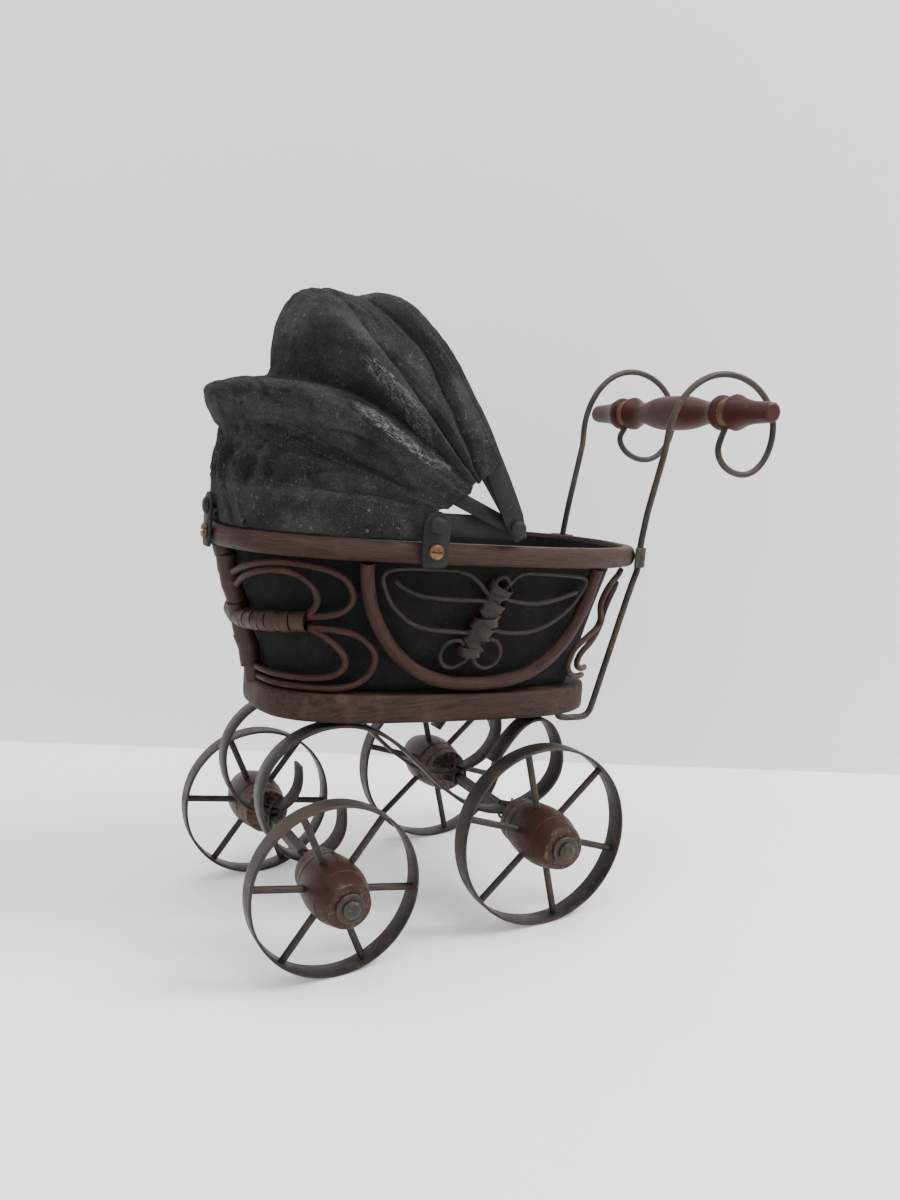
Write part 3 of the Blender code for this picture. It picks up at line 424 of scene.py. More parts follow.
@dataclass(frozen=True)
class OldPaint(Finish):
    """Dark green-grey paint on strip metal, chipped to brown at the high spots."""

    chip: Colour = (0.1, 0.065, 0.045)

    def paint(self, shader: Shader) -> None:
        """Cloudy paint with chips and a fine bump.

        Args:
            shader: The material being built.
        """
        where = shader.place()
        broad = shader.noise(where, 6, 4, 0.6)
        fine = shader.noise(where, 0.6, 4, 0.65)
        chips = shader.noise(where, 2.0, 6, 0.75).step(0.6, 0.68)
        tone = shader.mix(broad.step(0.35, 0.7) * 0.5, self.colour, tuple(2.1 * c for c in self.colour))
        shader.set(Base_Color=shader.mix(chips * 0.55, tone, self.chip), Metallic=0.25,
                   Roughness=0.5 + fine * 0.25, Specular_IOR_Level=0.3,
                   Normal=shader.bump(fine + chips, 0.16, 0.8))


@dataclass(frozen=True)
class Bronze(Finish):
    """Tarnished bronze of the old screws."""

    def paint(self, shader: Shader) -> None:
        """Brown tarnish over the metal.

        Args:
            shader: The material being built.
        """
        where = shader.place()
        fine = shader.noise(where, 0.7, 4, 0.7)
        tone = shader.mix(shader.noise(where, 1.8, 4, 0.7).step(0.42, 0.62), self.colour, (0.08, 0.04, 0.022))
        shader.set(Base_Color=tone, Metallic=0.8, Roughness=0.35 + fine * 0.3,
                   Normal=shader.bump(fine, 0.08, 0.6))


@dataclass(frozen=True)
class Ground(Finish):
    """The matt paper of the floor and backdrop, seen from its front only."""

    glow: float = 0.24

    def paint(self, shader: Shader) -> None:
        """A faint cloudiness in front, and nothing behind.

        Args:
            shader: The material being built.
        """
        cloud = shader.noise(shader.place(), 120, 3, 0.5)
        tone = shader.mix(cloud, self.colour, tuple(0.97 * c for c in self.colour))
        shader.set(Base_Color=tone, Roughness=0.75, Emission_Color=self.colour, Emission_Strength=self.glow)
        behind = shader.node("ShaderNodeNewGeometry", output="Backfacing")
        clear = shader.node("ShaderNodeBsdfTransparent")
        front = Wire(shader, shader.surface.outputs[0])
        either = shader.node("ShaderNodeMixShader", inputs={0: behind, 1: front, 2: clear})
        shader.feed(shader.tree.nodes["Material Output"].inputs["Surface"], either)


IRON = Iron("blackened_iron", "iron", (0.024, 0.022, 0.019), rust=(0.036, 0.021, 0.014),
            rubbed=(0.1, 0.092, 0.083))
HUB = HubPaint("worn_red_hub_paint", "hub_wood", (0.027, 0.0075, 0.005), bare=(0.1, 0.07, 0.053),
               dirt=(0.008, 0.005, 0.004), coat=0.05)
GRIP = HubPaint("varnished_grip", "hub_wood", (0.034, 0.0045, 0.0035), bare=(0.07, 0.026, 0.018),
                dirt=(0.008, 0.003, 0.002), coat=0.04, wear=0.1)
RATTAN = Rattan("stained_rattan", "rattan", (0.028, 0.0078, 0.0048), light=(0.085, 0.038, 0.024),
                dark=(0.005, 0.0022, 0.0018))
CANE = Rattan("cane_binding", "cane", (0.027, 0.0125, 0.0085), light=(0.085, 0.055, 0.042),
              dark=(0.005, 0.0028, 0.002))
WIRES = Rattan("grey_brown_cane", "cane", (0.018, 0.012, 0.0095), light=(0.06, 0.046, 0.037),
               dark=(0.005, 0.0035, 0.0028))
PLANK = Plank("stained_plank", "plank", (0.03, 0.0105, 0.007), grain=(0.009, 0.0037, 0.0028),
              speck=(0.15, 0.105, 0.08))
LINER = Cloth("black_lining", "liner", (0.004, 0.004, 0.004), faded=(0.011, 0.01, 0.009),
              thread=(0.05, 0.05, 0.045),
              sheen=0.04)
CLOTH = Cloth("charcoal_wool", "hood_cloth", (0.005, 0.005, 0.006), faded=(0.03, 0.029, 0.028),
              thread=(0.23, 0.225, 0.21), sheen=0.07)
PAINT = OldPaint("green_grey_paint", "hood_metal", (0.0065, 0.007, 0.0065), chip=(0.045, 0.03, 0.022))
BRONZE = Bronze("tarnished_bronze", "screw_bronze", (0.16, 0.09, 0.042))
THREAD = Finish("grey_thread", "hood_cloth", (0.022, 0.021, 0.02))
FLOOR = Ground("pale_floor", "", (0.87, 0.865, 0.84))
WALL = Ground("pale_backdrop", "", (0.8, 0.8, 0.795))


# ---------------------------------------------------------------- outlines and curves


def round_section(radius: float, sides: int) -> Section:
    """The outline of a round rod."""
    turn = 2 * math.pi / sides
    return [(radius * math.cos(turn * i), radius * math.sin(turn * i)) for i in range(sides)]


def strip_section(thick: float, wide: float, bevel: float = 0.25) -> Section:
    """The outline of a flat strip with softened corners: thickness first, then width.

    Args:
        thick: Thickness.
        wide: Width.
        bevel: How far the corners are cut.

    Returns:
        The outline.
    """
    t, w = thick / 2, wide / 2
    return [(t - bevel, w), (-t + bevel, w), (-t, w - bevel), (-t, -w + bevel),
            (-t + bevel, -w), (t - bevel, -w), (t, -w + bevel), (t, w - bevel)]


def arc(middle: tuple[float, float], reach_x: float, reach_z: float, start: float, end: float, steps: int,
        y: float = 0.0) -> Path:
    """Points of an elliptical arc in the XZ plane, angles in degrees from +X towards +Z.

    Args:
        middle: Centre in X and Z.
        reach_x: Half width.
        reach_z: Half height.
        start: First angle.
        end: Last angle.
        steps: How many steps.
        y: The plane's Y.

    Returns:
        The points.
    """
    points = []
    for i in range(steps + 1):
        a = math.radians(start + (end - start) * i / steps)
        points.append(Vector((middle[0] + reach_x * math.cos(a), y, middle[1] + reach_z * math.sin(a))))
    return points


def smooth(points: Sequence[Vector], steps: int) -> Path:
    """A Catmull-Rom curve through the points.

    Args:
        points: The points, in order.
        steps: Steps between two points.

    Returns:
        The curve.
    """
    spread = [points[0] * 2 - points[1], *points, points[-1] * 2 - points[-2]]
    curve = []
    for a, b, c, d in zip(spread, spread[1:], spread[2:], spread[3:]):
        for i in range(steps):
            t = i / steps
            curve.append(0.5 * (2 * b + (c - a) * t + (2 * a - 5 * b + 4 * c - d) * t ** 2
                                + (3 * b - a - 3 * c + d) * t ** 3))
    return curve + [points[-1].copy()]


def bezier(a: Vector, b: Vector, c: Vector, d: Vector, steps: int) -> Path:
    """A cubic curve with two handles.

    Args:
        a: First point.
        b: First handle.
        c: Second handle.
        d: Last point.
        steps: How many steps.

    Returns:
        The curve.
    """
    curve = []
    for i in range(steps + 1):
        t = i / steps
        s = 1 - t
        curve.append(a * s ** 3 + b * 3 * s * s * t + c * 3 * s * t * t + d * t ** 3)
    return curve


def softened(path: Path, passes: int) -> Path:
    """The path with its kinks rounded by averaging each inner point with its neighbours.

    Args:
        path: The line, in millimetres.
        passes: How many rounds of averaging.

    Returns:
        The softer path.
    """
    for _ in range(passes):
        path = [path[0], *[(a + b * 2 + c) / 4 for a, b, c in zip(path, path[1:], path[2:])], path[-1]]
    return path


def even(path: Path, spacing: float) -> Path:
    """The path's points at equal distances.

    Args:
        path: The line, in millimetres.
        spacing: The distance wanted.

    Returns:
        The spaced points.
    """
    lengths = [0.0]
    for a, b in zip(path, path[1:]):
        lengths.append(lengths[-1] + (b - a).length)
    count = max(2, round(lengths[-1] / spacing))
    points, k = [], 0
    for i in range(count + 1):
        sought = lengths[-1] * i / count
        while k < len(path) - 2 and lengths[k + 1] < sought:
            k += 1
        span = max(1e-9, lengths[k + 1] - lengths[k])
        points.append(path[k].lerp(path[k + 1], (sought - lengths[k]) / span))
    return points


def oval_point(angle: float, half_x: float, half_y: float, power: float) -> tuple[float, float]:
    """One point of a superellipse, as x and y."""
    c, s = math.cos(angle), math.sin(angle)
    return math.copysign(half_x * abs(c) ** (2 / power), c), math.copysign(half_y * abs(s) ** (2 / power), s)


def oval(half_x: float, half_y: float, power: float, z: float, count: int, start: float = 0.0,
         end: float = 2 * math.pi, closed: bool = True) -> Path:
    """Points of a superellipse, or of an arc of one, at one height."""
    steps = count if closed else count - 1
    return [Vector((*oval_point(start + (end - start) * i / steps, half_x, half_y, power),
                    z)) for i in range(count)]


def read(stations: Sequence[tuple[float, float]], x: float) -> float:
    """A value between stations, eased so that it has no kink.

    Args:
        stations: Pairs of position and value.
        x: The position.

    Returns:
        The value there.
    """
    if x <= stations[0][0]:
        return stations[0][1]
    for (x0, v0), (x1, v1) in zip(stations, stations[1:]):
        if x <= x1:
            t = (x - x0) / (x1 - x0)
            return v0 + (v1 - v0) * t * t * (3 - 2 * t)
    return stations[-1][1]


def dent(x: float, wide: float) -> float:
    """A soft hump of height 1 at 0."""
    return math.exp(-(x / wide) ** 2)


# ---------------------------------------------------------------- making pieces


class Maker:
    """Gathers faces in millimetres and turns them into one finished piece."""

    def __init__(self, name: str, place: Matrix = Matrix.Identity(4)) -> None:
        """Start an empty piece whose coordinates are carried by place.

        Args:
            name: The piece's name.
            place: What carries its points into the frame.
        """
        self.name = name
        self.place = place
        self.verts: list[Vector] = []
        self.plain: list[Vector] = []
        self.faces: list[tuple[int, ...]] = []
        self.uvs: list[list[tuple[float, float]]] = []
        self.paint: dict[str, list[float]] = {}

    def mark(self, name: str, value: Callable[[Vector], float]) -> "Maker":
        """Paint a number on every point made so far, from the point's own place in millimetres."""
        self.paint[name] = [value(point) for point in self.plain]
        return self

    def ring_faces(self, here: list[int], there: list[int], u0: float, u1: float, vs: list[float],
                   closed: bool = True) -> None:
        """Join two rows of points with quads.

        Args:
            here: The first row.
            there: The second row.
            u0: First row's unwrapped place.
            u1: Second row's.
            vs: Unwrapped places along the rows.
            closed: Whether the rows are rings.
        """
        count = len(here) if closed else len(here) - 1
        for j in range(count):
            k = (j + 1) % len(here)
            self.faces.append((here[j], here[k], there[k], there[j]))
            self.uvs.append([(u0, vs[j]), (u0, vs[j + 1]), (u1, vs[j + 1]), (u1, vs[j])])

    def cap(self, ring: list[int], flip: bool) -> None:
        """Close a ring with one face.

        Args:
            ring: The ring's points.
            flip: Whether it faces backward.
        """
        face = tuple(reversed(ring)) if flip else tuple(ring)
        self.faces.append(face)
        self.uvs.append([(0.0, 0.0)] * len(face))

    def row(self, points: Iterable[Vector]) -> list[int]:
        """Add points and return their numbers.

        Args:
            points: The points, in order.

        Returns:
            Their numbers.
        """
        start = len(self.verts)
        points = list(points)
        self.plain += points
        self.verts += [self.place @ (point * MM) for point in points]
        return list(range(start, len(self.verts)))

    def sweep(self, path: Path, section: Section | Callable[[float], Section], closed: bool = False,
              side: Sequence[float] | None = None, round_ends: float = 0.0) -> "Maker":
        """Carry a section along a path.

        Args:
            path: The middle line, in millimetres.
            section: The outline, or a function from 0..1 along the path to an outline.
            closed: Whether the path joins itself.
            side: A fixed direction for the section's second axis; without it the section doesn't twist.
            round_ends: How far the ends are rounded off, in millimetres.

        Returns:
            The maker itself.
        """
        shape = section if callable(section) else (lambda _t: section)
        count = len(path)
        across: Vector | None = None
        rings, lengths, length = [], [], 0.0
        sides = len(shape(0.0))
        ends = [(0, -1.0, 0.35), (0, -0.7, 0.75)] if round_ends else []
        tails = [(count - 1, 0.7, 0.75), (count - 1, 1.0, 0.35)] if round_ends else []
        for i, shift, grow in [*ends, *[(i, 0.0, 1.0) for i in range(count)], *tails]:
            back = path[i - 1] if closed or i > 0 else path[i]
            ahead = path[(i + 1) % count] if closed or i < count - 1 else path[i]
            along = (ahead - back).normalized()
            if side is not None:
                across = Vector(side)
            elif across is None:
                across = along.orthogonal()
            across = (across - along * across.dot(along)).normalized()
            outward = along.cross(across)
            middle = path[i] + along * (shift * round_ends)
            outline = shape(i / max(1, count - 1))
            rings.append(self.row(middle + (outward * u + across * v) * grow for u, v in outline))
            length += (path[i] - path[i - 1]).length if i else 0.0
            lengths.append(length)
        girth = [0.0]
        outline = [Vector((*p, 0)) for p in shape(0.5)]
        for a, b in zip(outline, outline[1:] + outline[:1]):
            girth.append(girth[-1] + (b - a).length)
        for i in range(len(rings) - 1):
            self.ring_faces(rings[i], rings[i + 1], lengths[i], lengths[i + 1], girth[:sides + 1])
        if closed:
            turn = length + (path[0] - path[-1]).length
            self.ring_faces(rings[-1], rings[0], lengths[-1], turn, girth[:sides + 1])
        else:
            self.cap(rings[0], False)
            self.cap(rings[-1], True)
        return self

    def lathe(self, profile: Sequence[tuple[float, float]], segments: int, place: Matrix | None = None,
              wobble: float = 0.0, closed: bool = False) -> "Maker":
        """Turn a profile of (radius, y) about the Y axis.

        Args:
            profile: The outline; a radius of 0 closes an end.
            segments: How many steps round.
            place: Where the turning stands within the piece.
            wobble: How uneven the turning is, in millimetres.
            closed: Whether the profile joins itself, as a ring's does.

        Returns:
            The maker itself.
        """
        place = place or Matrix.Identity(4)
        rings, length, lengths = [], 0.0, []
        for i, (radius, y) in enumerate(profile):
            if i:
                length += math.hypot(radius - profile[i - 1][0], y - profile[i - 1][1])
            lengths.append(length)
            if radius < 1e-6:
                rings.append(self.row([place @ Vector((0, y, 0))]))
                continue
            points = []
            for k in range(segments):
                a = 2 * math.pi * k / segments
                rough = 1 + wobble / radius * noise.noise(Vector((3 * math.cos(a), 0.3 * y, 3 * math.sin(a))))
                points.append(place @ Vector((radius * rough * math.cos(a), y, radius * rough * math.sin(a))))
            rings.append(self.row(points))
        turns = [2 * math.pi * max(r for r, _ in profile) * k / segments for k in range(segments + 1)]
        pairs = list(zip(range(len(rings) - 1), range(1, len(rings))))
        if closed:
            pairs.append((len(rings) - 1, 0))
        for i, j in pairs:
            a, b = rings[i], rings[j]
            if len(a) == 1 and len(b) == 1:
                continue
            if len(a) == 1 or len(b) == 1:
                ring, tip = (b, a[0]) if len(a) == 1 else (a, b[0])
                for k in range(segments):
                    n = (k + 1) % segments
                    self.faces.append((ring[k], ring[n], tip))
                    self.uvs.append([(lengths[i], turns[k]), (lengths[i], turns[k + 1]),
                                     (lengths[j], turns[k])])
            else:
                self.ring_faces(a, b, lengths[i], lengths[j], turns)
        return self

    def grid(self, rows: list[Path]) -> list[list[int]]:
        """Add an open sheet from rows of points, unwrapped by its own lengths.

        Args:
            rows: Rows of points.

        Returns:
            The points' numbers, row by row.
        """
        numbers = [self.row(row) for row in rows]
        span = [0.0]
        for a, b in zip(rows[len(rows) // 2], rows[len(rows) // 2][1:]):
            span.append(span[-1] + (b - a).length)
        middle = len(rows[0]) // 2
        height = [0.0]
        for a, b in zip(rows, rows[1:]):
            height.append(height[-1] + (b[middle] - a[middle]).length)
        for i in range(len(rows) - 1):
            self.ring_faces(numbers[i], numbers[i + 1], height[i], height[i + 1], span, closed=False)
        return numbers

    def piece(self, finish: Finish, sharp: float = 40.0) -> bpy.types.Object:
        """The finished object, at the origin, with its faces outward and its unwrapping in millimetres.

        Args:
            finish: The finish it takes.
            sharp: Angle from which an edge stays sharp, in degrees.

        Returns:
            The object.
        """
        mesh = bpy.data.meshes.new(self.name)
        mesh.from_pydata(self.verts, [], self.faces)
        layer = mesh.uv_layers.new(name="UVMap")
        flat = [uv for face in self.uvs for uv in face]
        for loop, uv in zip(layer.data, flat):
            loop.uv = uv
        for name, values in self.paint.items():
            values += [0.0] * (len(self.verts) - len(values))
            mesh.attributes.new(name, "FLOAT", "POINT").data.foreach_set("value", values)
        mesh.materials.append(finish.material())
        tidy(mesh)
        mesh.shade_smooth()
        mesh.set_sharp_from_angle(angle=math.radians(sharp))
        item = bpy.data.objects.new(self.name, mesh)
        bpy.context.scene.collection.objects.link(item)
        return item


def tidy(mesh: bpy.types.Mesh) -> None:
    """Merge doubles and turn every face outward.

    Args:
        mesh: The mesh.
    """
    bm = bmesh.new()
    bm.from_mesh(mesh)
    bmesh.ops.remove_doubles(bm, verts=bm.verts, dist=1e-6)
    bmesh.ops.recalc_face_normals(bm, faces=bm.faces)
    bm.to_mesh(mesh)
    bm.free()


def apply_modifiers(item: bpy.types.Object) -> None:
    """Turn an object's modifiers into plain mesh.

    Args:
        item: The object.
    """
    graph = bpy.context.evaluated_depsgraph_get()
    mesh = bpy.data.meshes.new_from_object(item.evaluated_get(graph), depsgraph=graph)
    item.modifiers.clear()
    item.data = mesh


# ---------------------------------------------------------------- geometry nodes


class NodeKit:
    """Builds one geometry tree whose inputs are named sizes."""

    def __init__(self, name: str, sizes: dict[str, float]) -> None:
        """Start a tree with a Geometry input and one number for each size.

        Args:
            name: The tree's name.
            sizes: Its inputs and their usual values.
        """
        self.tree = bpy.data.node_groups.new(name, "GeometryNodeTree")
        face = self.tree.interface
        face.new_socket("Geometry", in_out="INPUT", socket_type="NodeSocketGeometry")
        for key, value in sizes.items():
            face.new_socket(key, in_out="INPUT", socket_type="NodeSocketFloat").default_value = value
        face.new_socket("Geometry", in_out="OUTPUT", socket_type="NodeSocketGeometry")
        self.start = self.tree.nodes.new("NodeGroupInput")
        self.end = self.tree.nodes.new("NodeGroupOutput")

    def add(self, kind: str, settings: dict[str, object] | None = None,
            inputs: dict[str | int, object] | None = None) -> bpy.types.Node:
        """Add a node; a socket given as an input is linked, and a value is set.

        Args:
            kind: The node's type.
            settings: Its settings.
            inputs: Values or links of its sockets.

        Returns:
            The node.
        """
        made = self.tree.nodes.new(kind)
        for key, value in (settings or {}).items():
            setattr(made, key, value)
        for key, value in (inputs or {}).items():
            if isinstance(value, bpy.types.NodeSocket):
                self.tree.links.new(value, made.inputs[key])
            else:
                made.inputs[key].default_value = value
        return made

    def size(self, name: str) -> bpy.types.NodeSocket:
        """The input socket of one named size."""
        return self.start.outputs[name]

    def finish(self, geometry: bpy.types.NodeSocket, material: bpy.types.Material) -> bpy.types.NodeTree:
        """End the tree with Realize Instances and Set Material.

        Args:
            geometry: The geometry to end with.
            material: What dresses it.

        Returns:
            The tree.
        """
        real = self.add("GeometryNodeRealizeInstances", inputs={"Geometry": geometry})
        dressed = self.add("GeometryNodeSetMaterial", inputs={"Geometry": real.outputs[0]})
        dressed.inputs["Material"].default_value = material
        self.tree.links.new(dressed.outputs[0], self.end.inputs[0])
        return self.tree


class Repeats:
    """The repeated small things: wound turns, dome heads, spokes and stitches."""

    @staticmethod
    def turns(finish: Finish) -> bpy.types.NodeTree:
        """Turns of binding wound closely round a line.

        Args:
            finish: The finish it takes.

        Returns:
            The tree.
        """
        kit = NodeKit("wound_turns_" + finish.name, {"Radius": 0.004, "Wide": 0.003, "Thick": 0.0004,
                                                     "Pitch": 0.003, "Lean": 0.15, "Spin": 3.0, "Flat": 1.0})
        line = kit.add("GeometryNodeCurveToPoints", {"mode": "LENGTH"},
                       {"Curve": kit.start.outputs[0], "Length": kit.size("Pitch")})
        ring = kit.add("GeometryNodeCurvePrimitiveCircle",
                       inputs={"Resolution": 22, "Radius": kit.size("Radius")})
        strand = kit.add("GeometryNodeCurvePrimitiveQuadrilateral", inputs={"Width": kit.size("Thick"),
                                                                            "Height": kit.size("Wide")})
        loop = kit.add("GeometryNodeCurveToMesh", inputs={"Curve": ring.outputs[0],
                                                          "Profile Curve": strand.outputs[0]})
        back = kit.add("ShaderNodeMath", {"operation": "MULTIPLY"}, {0: kit.size("Lean"), 1: -1.0})
        low = kit.add("ShaderNodeCombineXYZ", inputs={"X": back.outputs[0], "Y": back.outputs[0]})
        high = kit.add("ShaderNodeCombineXYZ",
                       inputs={"X": kit.size("Lean"), "Y": kit.size("Lean"), "Z": kit.size("Spin")})
        lean = kit.add("FunctionNodeRandomValue", {"data_type": "FLOAT_VECTOR"},
                       {"Min": low.outputs[0], "Max": high.outputs[0], "Seed": 4})
        swell = kit.add("FunctionNodeRandomValue", {"data_type": "FLOAT_VECTOR"},
                        {"Min": (0.97, 0.97, 1.0), "Max": (1.1, 1.1, 1.0), "Seed": 9})
        press = kit.add("ShaderNodeCombineXYZ", inputs={"X": kit.size("Flat"), "Y": 1.0, "Z": 1.0})
        swell = kit.add("ShaderNodeVectorMath", {"operation": "MULTIPLY"},
                        {0: swell.outputs[0], 1: press.outputs[0]})
        turn = kit.add("FunctionNodeEulerToRotation", inputs={0: lean.outputs[0]})
        both = kit.add("FunctionNodeRotateRotation", {"rotation_space": "LOCAL"},
                       {"Rotation": line.outputs["Rotation"], "Rotate By": turn.outputs[0]})
        many = kit.add("GeometryNodeInstanceOnPoints",
                       inputs={"Points": line.outputs[0], "Instance": loop.outputs[0],
                                                               "Rotation": both.outputs[0],
                                                               "Scale": swell.outputs[0]})
        return kit.finish(many.outputs[0], finish.material())

    @staticmethod
    def heads(finish: Finish) -> bpy.types.NodeTree:
        """Small domes along a line: tacks, or the bumps of a row of stitches when stretched.

        Args:
            finish: The finish it takes.

        Returns:
            The tree.
        """
        kit = NodeKit("heads_" + finish.name, {"Radius": 0.0012, "Flat": 0.5, "Long": 1.0, "Pitch": 0.02})
        line = kit.add("GeometryNodeCurveToPoints", {"mode": "LENGTH"},
                       {"Curve": kit.start.outputs[0], "Length": kit.size("Pitch")})
        dome = kit.add("GeometryNodeMeshUVSphere",
                       inputs={"Segments": 10, "Rings": 6, "Radius": kit.size("Radius")})
        shape = kit.add("ShaderNodeCombineXYZ", inputs={"X": kit.size("Flat"), "Y": kit.size("Flat"),
                                                        "Z": kit.size("Long")})
        many = kit.add("GeometryNodeInstanceOnPoints",
                       inputs={"Points": line.outputs[0], "Instance": dome.outputs[0],
                                                               "Rotation": line.outputs["Rotation"],
                                                               "Scale": shape.outputs[0]})
        return kit.finish(many.outputs[0], finish.material())

    @staticmethod
    def spokes(finish: Finish, count: int) -> bpy.types.NodeTree:
        """Rods standing out from an axis like rays.

        Args:
            finish: The finish it takes.
            count: How many rods.

        Returns:
            The tree.
        """
        kit = NodeKit("spokes_" + finish.name,
                      {"Inner": 0.008, "Outer": 0.034, "Radius": 0.0015, "Phase": 0.0})
        span = kit.add("ShaderNodeMath", {"operation": "SUBTRACT"},
                       {0: kit.size("Outer"), 1: kit.size("Inner")})
        half = kit.add("ShaderNodeMath", {"operation": "MULTIPLY_ADD"}, {0: span.outputs[0], 1: 0.5,
                                                                          2: kit.size("Inner")})
        rod = kit.add("GeometryNodeMeshCylinder", inputs={"Vertices": 14, "Radius": kit.size("Radius"),
                                                          "Depth": span.outputs[0]})
        out = kit.add("ShaderNodeCombineXYZ", inputs={"Z": half.outputs[0]})
        moved = kit.add("GeometryNodeTransform",
                        inputs={"Geometry": rod.outputs[0], "Translation": out.outputs[0]})
        hub = kit.add("GeometryNodePoints", inputs={"Count": count})
        number = kit.add("GeometryNodeInputIndex")
        angle = kit.add("ShaderNodeMath", {"operation": "MULTIPLY_ADD"},
                        {0: number.outputs[0], 1: 2 * math.pi / count, 2: kit.size("Phase")})
        turn = kit.add("ShaderNodeCombineXYZ", inputs={"Y": angle.outputs[0]})
        spin = kit.add("FunctionNodeEulerToRotation", inputs={0: turn.outputs[0]})
        many = kit.add("GeometryNodeInstanceOnPoints",
                       inputs={"Points": hub.outputs[0], "Instance": moved.outputs[0],
                                                               "Rotation": spin.outputs[0]})
        return kit.finish(many.outputs[0], finish.material())


def grow(name: str, tree: bpy.types.NodeTree, sizes: dict[str, float], finish: Finish,
         path: Path | None = None, place: Matrix = Matrix.Identity(4),
         closed: bool = False) -> bpy.types.Object:
    """Run a geometry tree along a path, or about place, and keep its result as a plain mesh.

    Args:
        name: The piece's name.
        tree: The geometry tree.
        sizes: Its named sizes, in metres or radians.
        finish: Not used.
        path: The line it follows, in millimetres.
        place: Where the line or the result stands.
        closed: Whether the line joins itself.

    Returns:
        The piece, at the origin.
    """
    if path is None:
        data = bpy.data.meshes.new(name)
    else:
        data = bpy.data.curves.new(name, "CURVE")
        data.dimensions = "3D"
        spline = data.splines.new("POLY")
        spline.points.add(len(path) - 1)
        for dot, point in zip(spline.points, path):
            dot.co = (*(place @ (point * MM)), 1.0)
        spline.use_cyclic_u = closed
    seed = bpy.data.objects.new(name + "_line", data)
    bpy.context.scene.collection.objects.link(seed)
    step = seed.modifiers.new("grow", "NODES")
    step.node_group = tree
    sockets = {item.name: item.identifier for item in tree.interface.items_tree if item.in_out == "INPUT"}
    for key, value in sizes.items():
        step[sockets[key]] = value
    graph = bpy.context.evaluated_depsgraph_get()
    mesh = bpy.data.meshes.new_from_object(seed.evaluated_get(graph), depsgraph=graph)
    bpy.data.objects.remove(seed, do_unlink=True)
    if path is None:
        mesh.transform(place)
    tidy(mesh)
    mesh.shade_smooth()
    mesh.set_sharp_from_angle(angle=math.radians(40))
    item = bpy.data.objects.new(name, mesh)
    bpy.context.scene.collection.objects.link(item)
    return item


# ---------------------------------------------------------------- places


@dataclass
class Plan:
    """The pram's main stations, in millimetres, read from the frame where it holds them."""

    wheel_base: float = 94.0
    track: float = 111.0
    tilt: float = math.radians(6.3)
    body_x: float = 16.5
    plank_z: float = 101.2
    plank_length: float = 155.5
    plank_width: float = 80.0
    plank_thick: float = 12.2
    plank_power: float = 3.1
    rim_half_x: float = 98.0
    rim_half_y: float = 56.0
    rim_power: float = 2.6
    rim_top: float = 64.0
    rim_tall: float = 8.5
    rim_deep: float = 6.0
    foot_inset: float = 2.0
    pivot_x: float = 12.0
    pivot_rise: float = 7.0
    gap: float = 0.35
    middle_x: float = field(init=False)

    def __post_init__(self) -> None:
        """Find the wheelbase's middle from the two left wheels."""
        stations = []
        for end in End:
            low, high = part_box(f"{end.value}_left_wheel_iron")
            stations.append((low.x + high.x) / 2)
        self.middle_x = sum(stations) / 2 / MM

    @property
    def chassis(self) -> Matrix:
        """Where the undercarriage's own coordinates stand."""
        return Matrix.Translation((self.middle_x * MM, 0, 0))

    @property
    def body(self) -> Matrix:
        """Where the basket's tilted coordinates stand."""
        move = Matrix.Translation(((self.middle_x + self.body_x) * MM, 0, self.plank_z * MM))
        return move @ Matrix.Rotation(self.tilt, 4, "Y")

    @property
    def pivot(self) -> Matrix:
        """Where the hood's coordinates stand, on the line of its pivots."""
        return self.body @ Matrix.Translation((self.pivot_x * MM, 0, self.pivot_z * MM))

    @property
    def pivot_z(self) -> float:
        """The pivots' height above the plank."""
        return self.rim_top + self.pivot_rise

    @property
    def wall_top(self) -> tuple[float, float]:
        """Half sizes of the line that the rattan work meets under the rim."""
        return self.rim_half_x - self.rim_deep / 2, self.rim_half_y - self.rim_deep / 2

    def wall(self, angle: float, height: float, inset: float = 0.0) -> Vector:
        """A point of the basket's wall at an angle in plan and a height, moved inward by inset.

        Args:
            angle: Angle in plan.
            height: Height above the board.
            inset: Distance inward.

        Returns:
            The point.
        """
        k = height / self.rim_top
        power = self.plank_power + (self.rim_power - self.plank_power) * k
        foot = (self.plank_length / 2 - self.foot_inset, self.plank_width / 2 - self.foot_inset)
        half = [foot[i] + (self.wall_top[i] - foot[i]) * k - inset for i in range(2)]
        return Vector((*oval_point(angle, half[0], half[1], power), height))


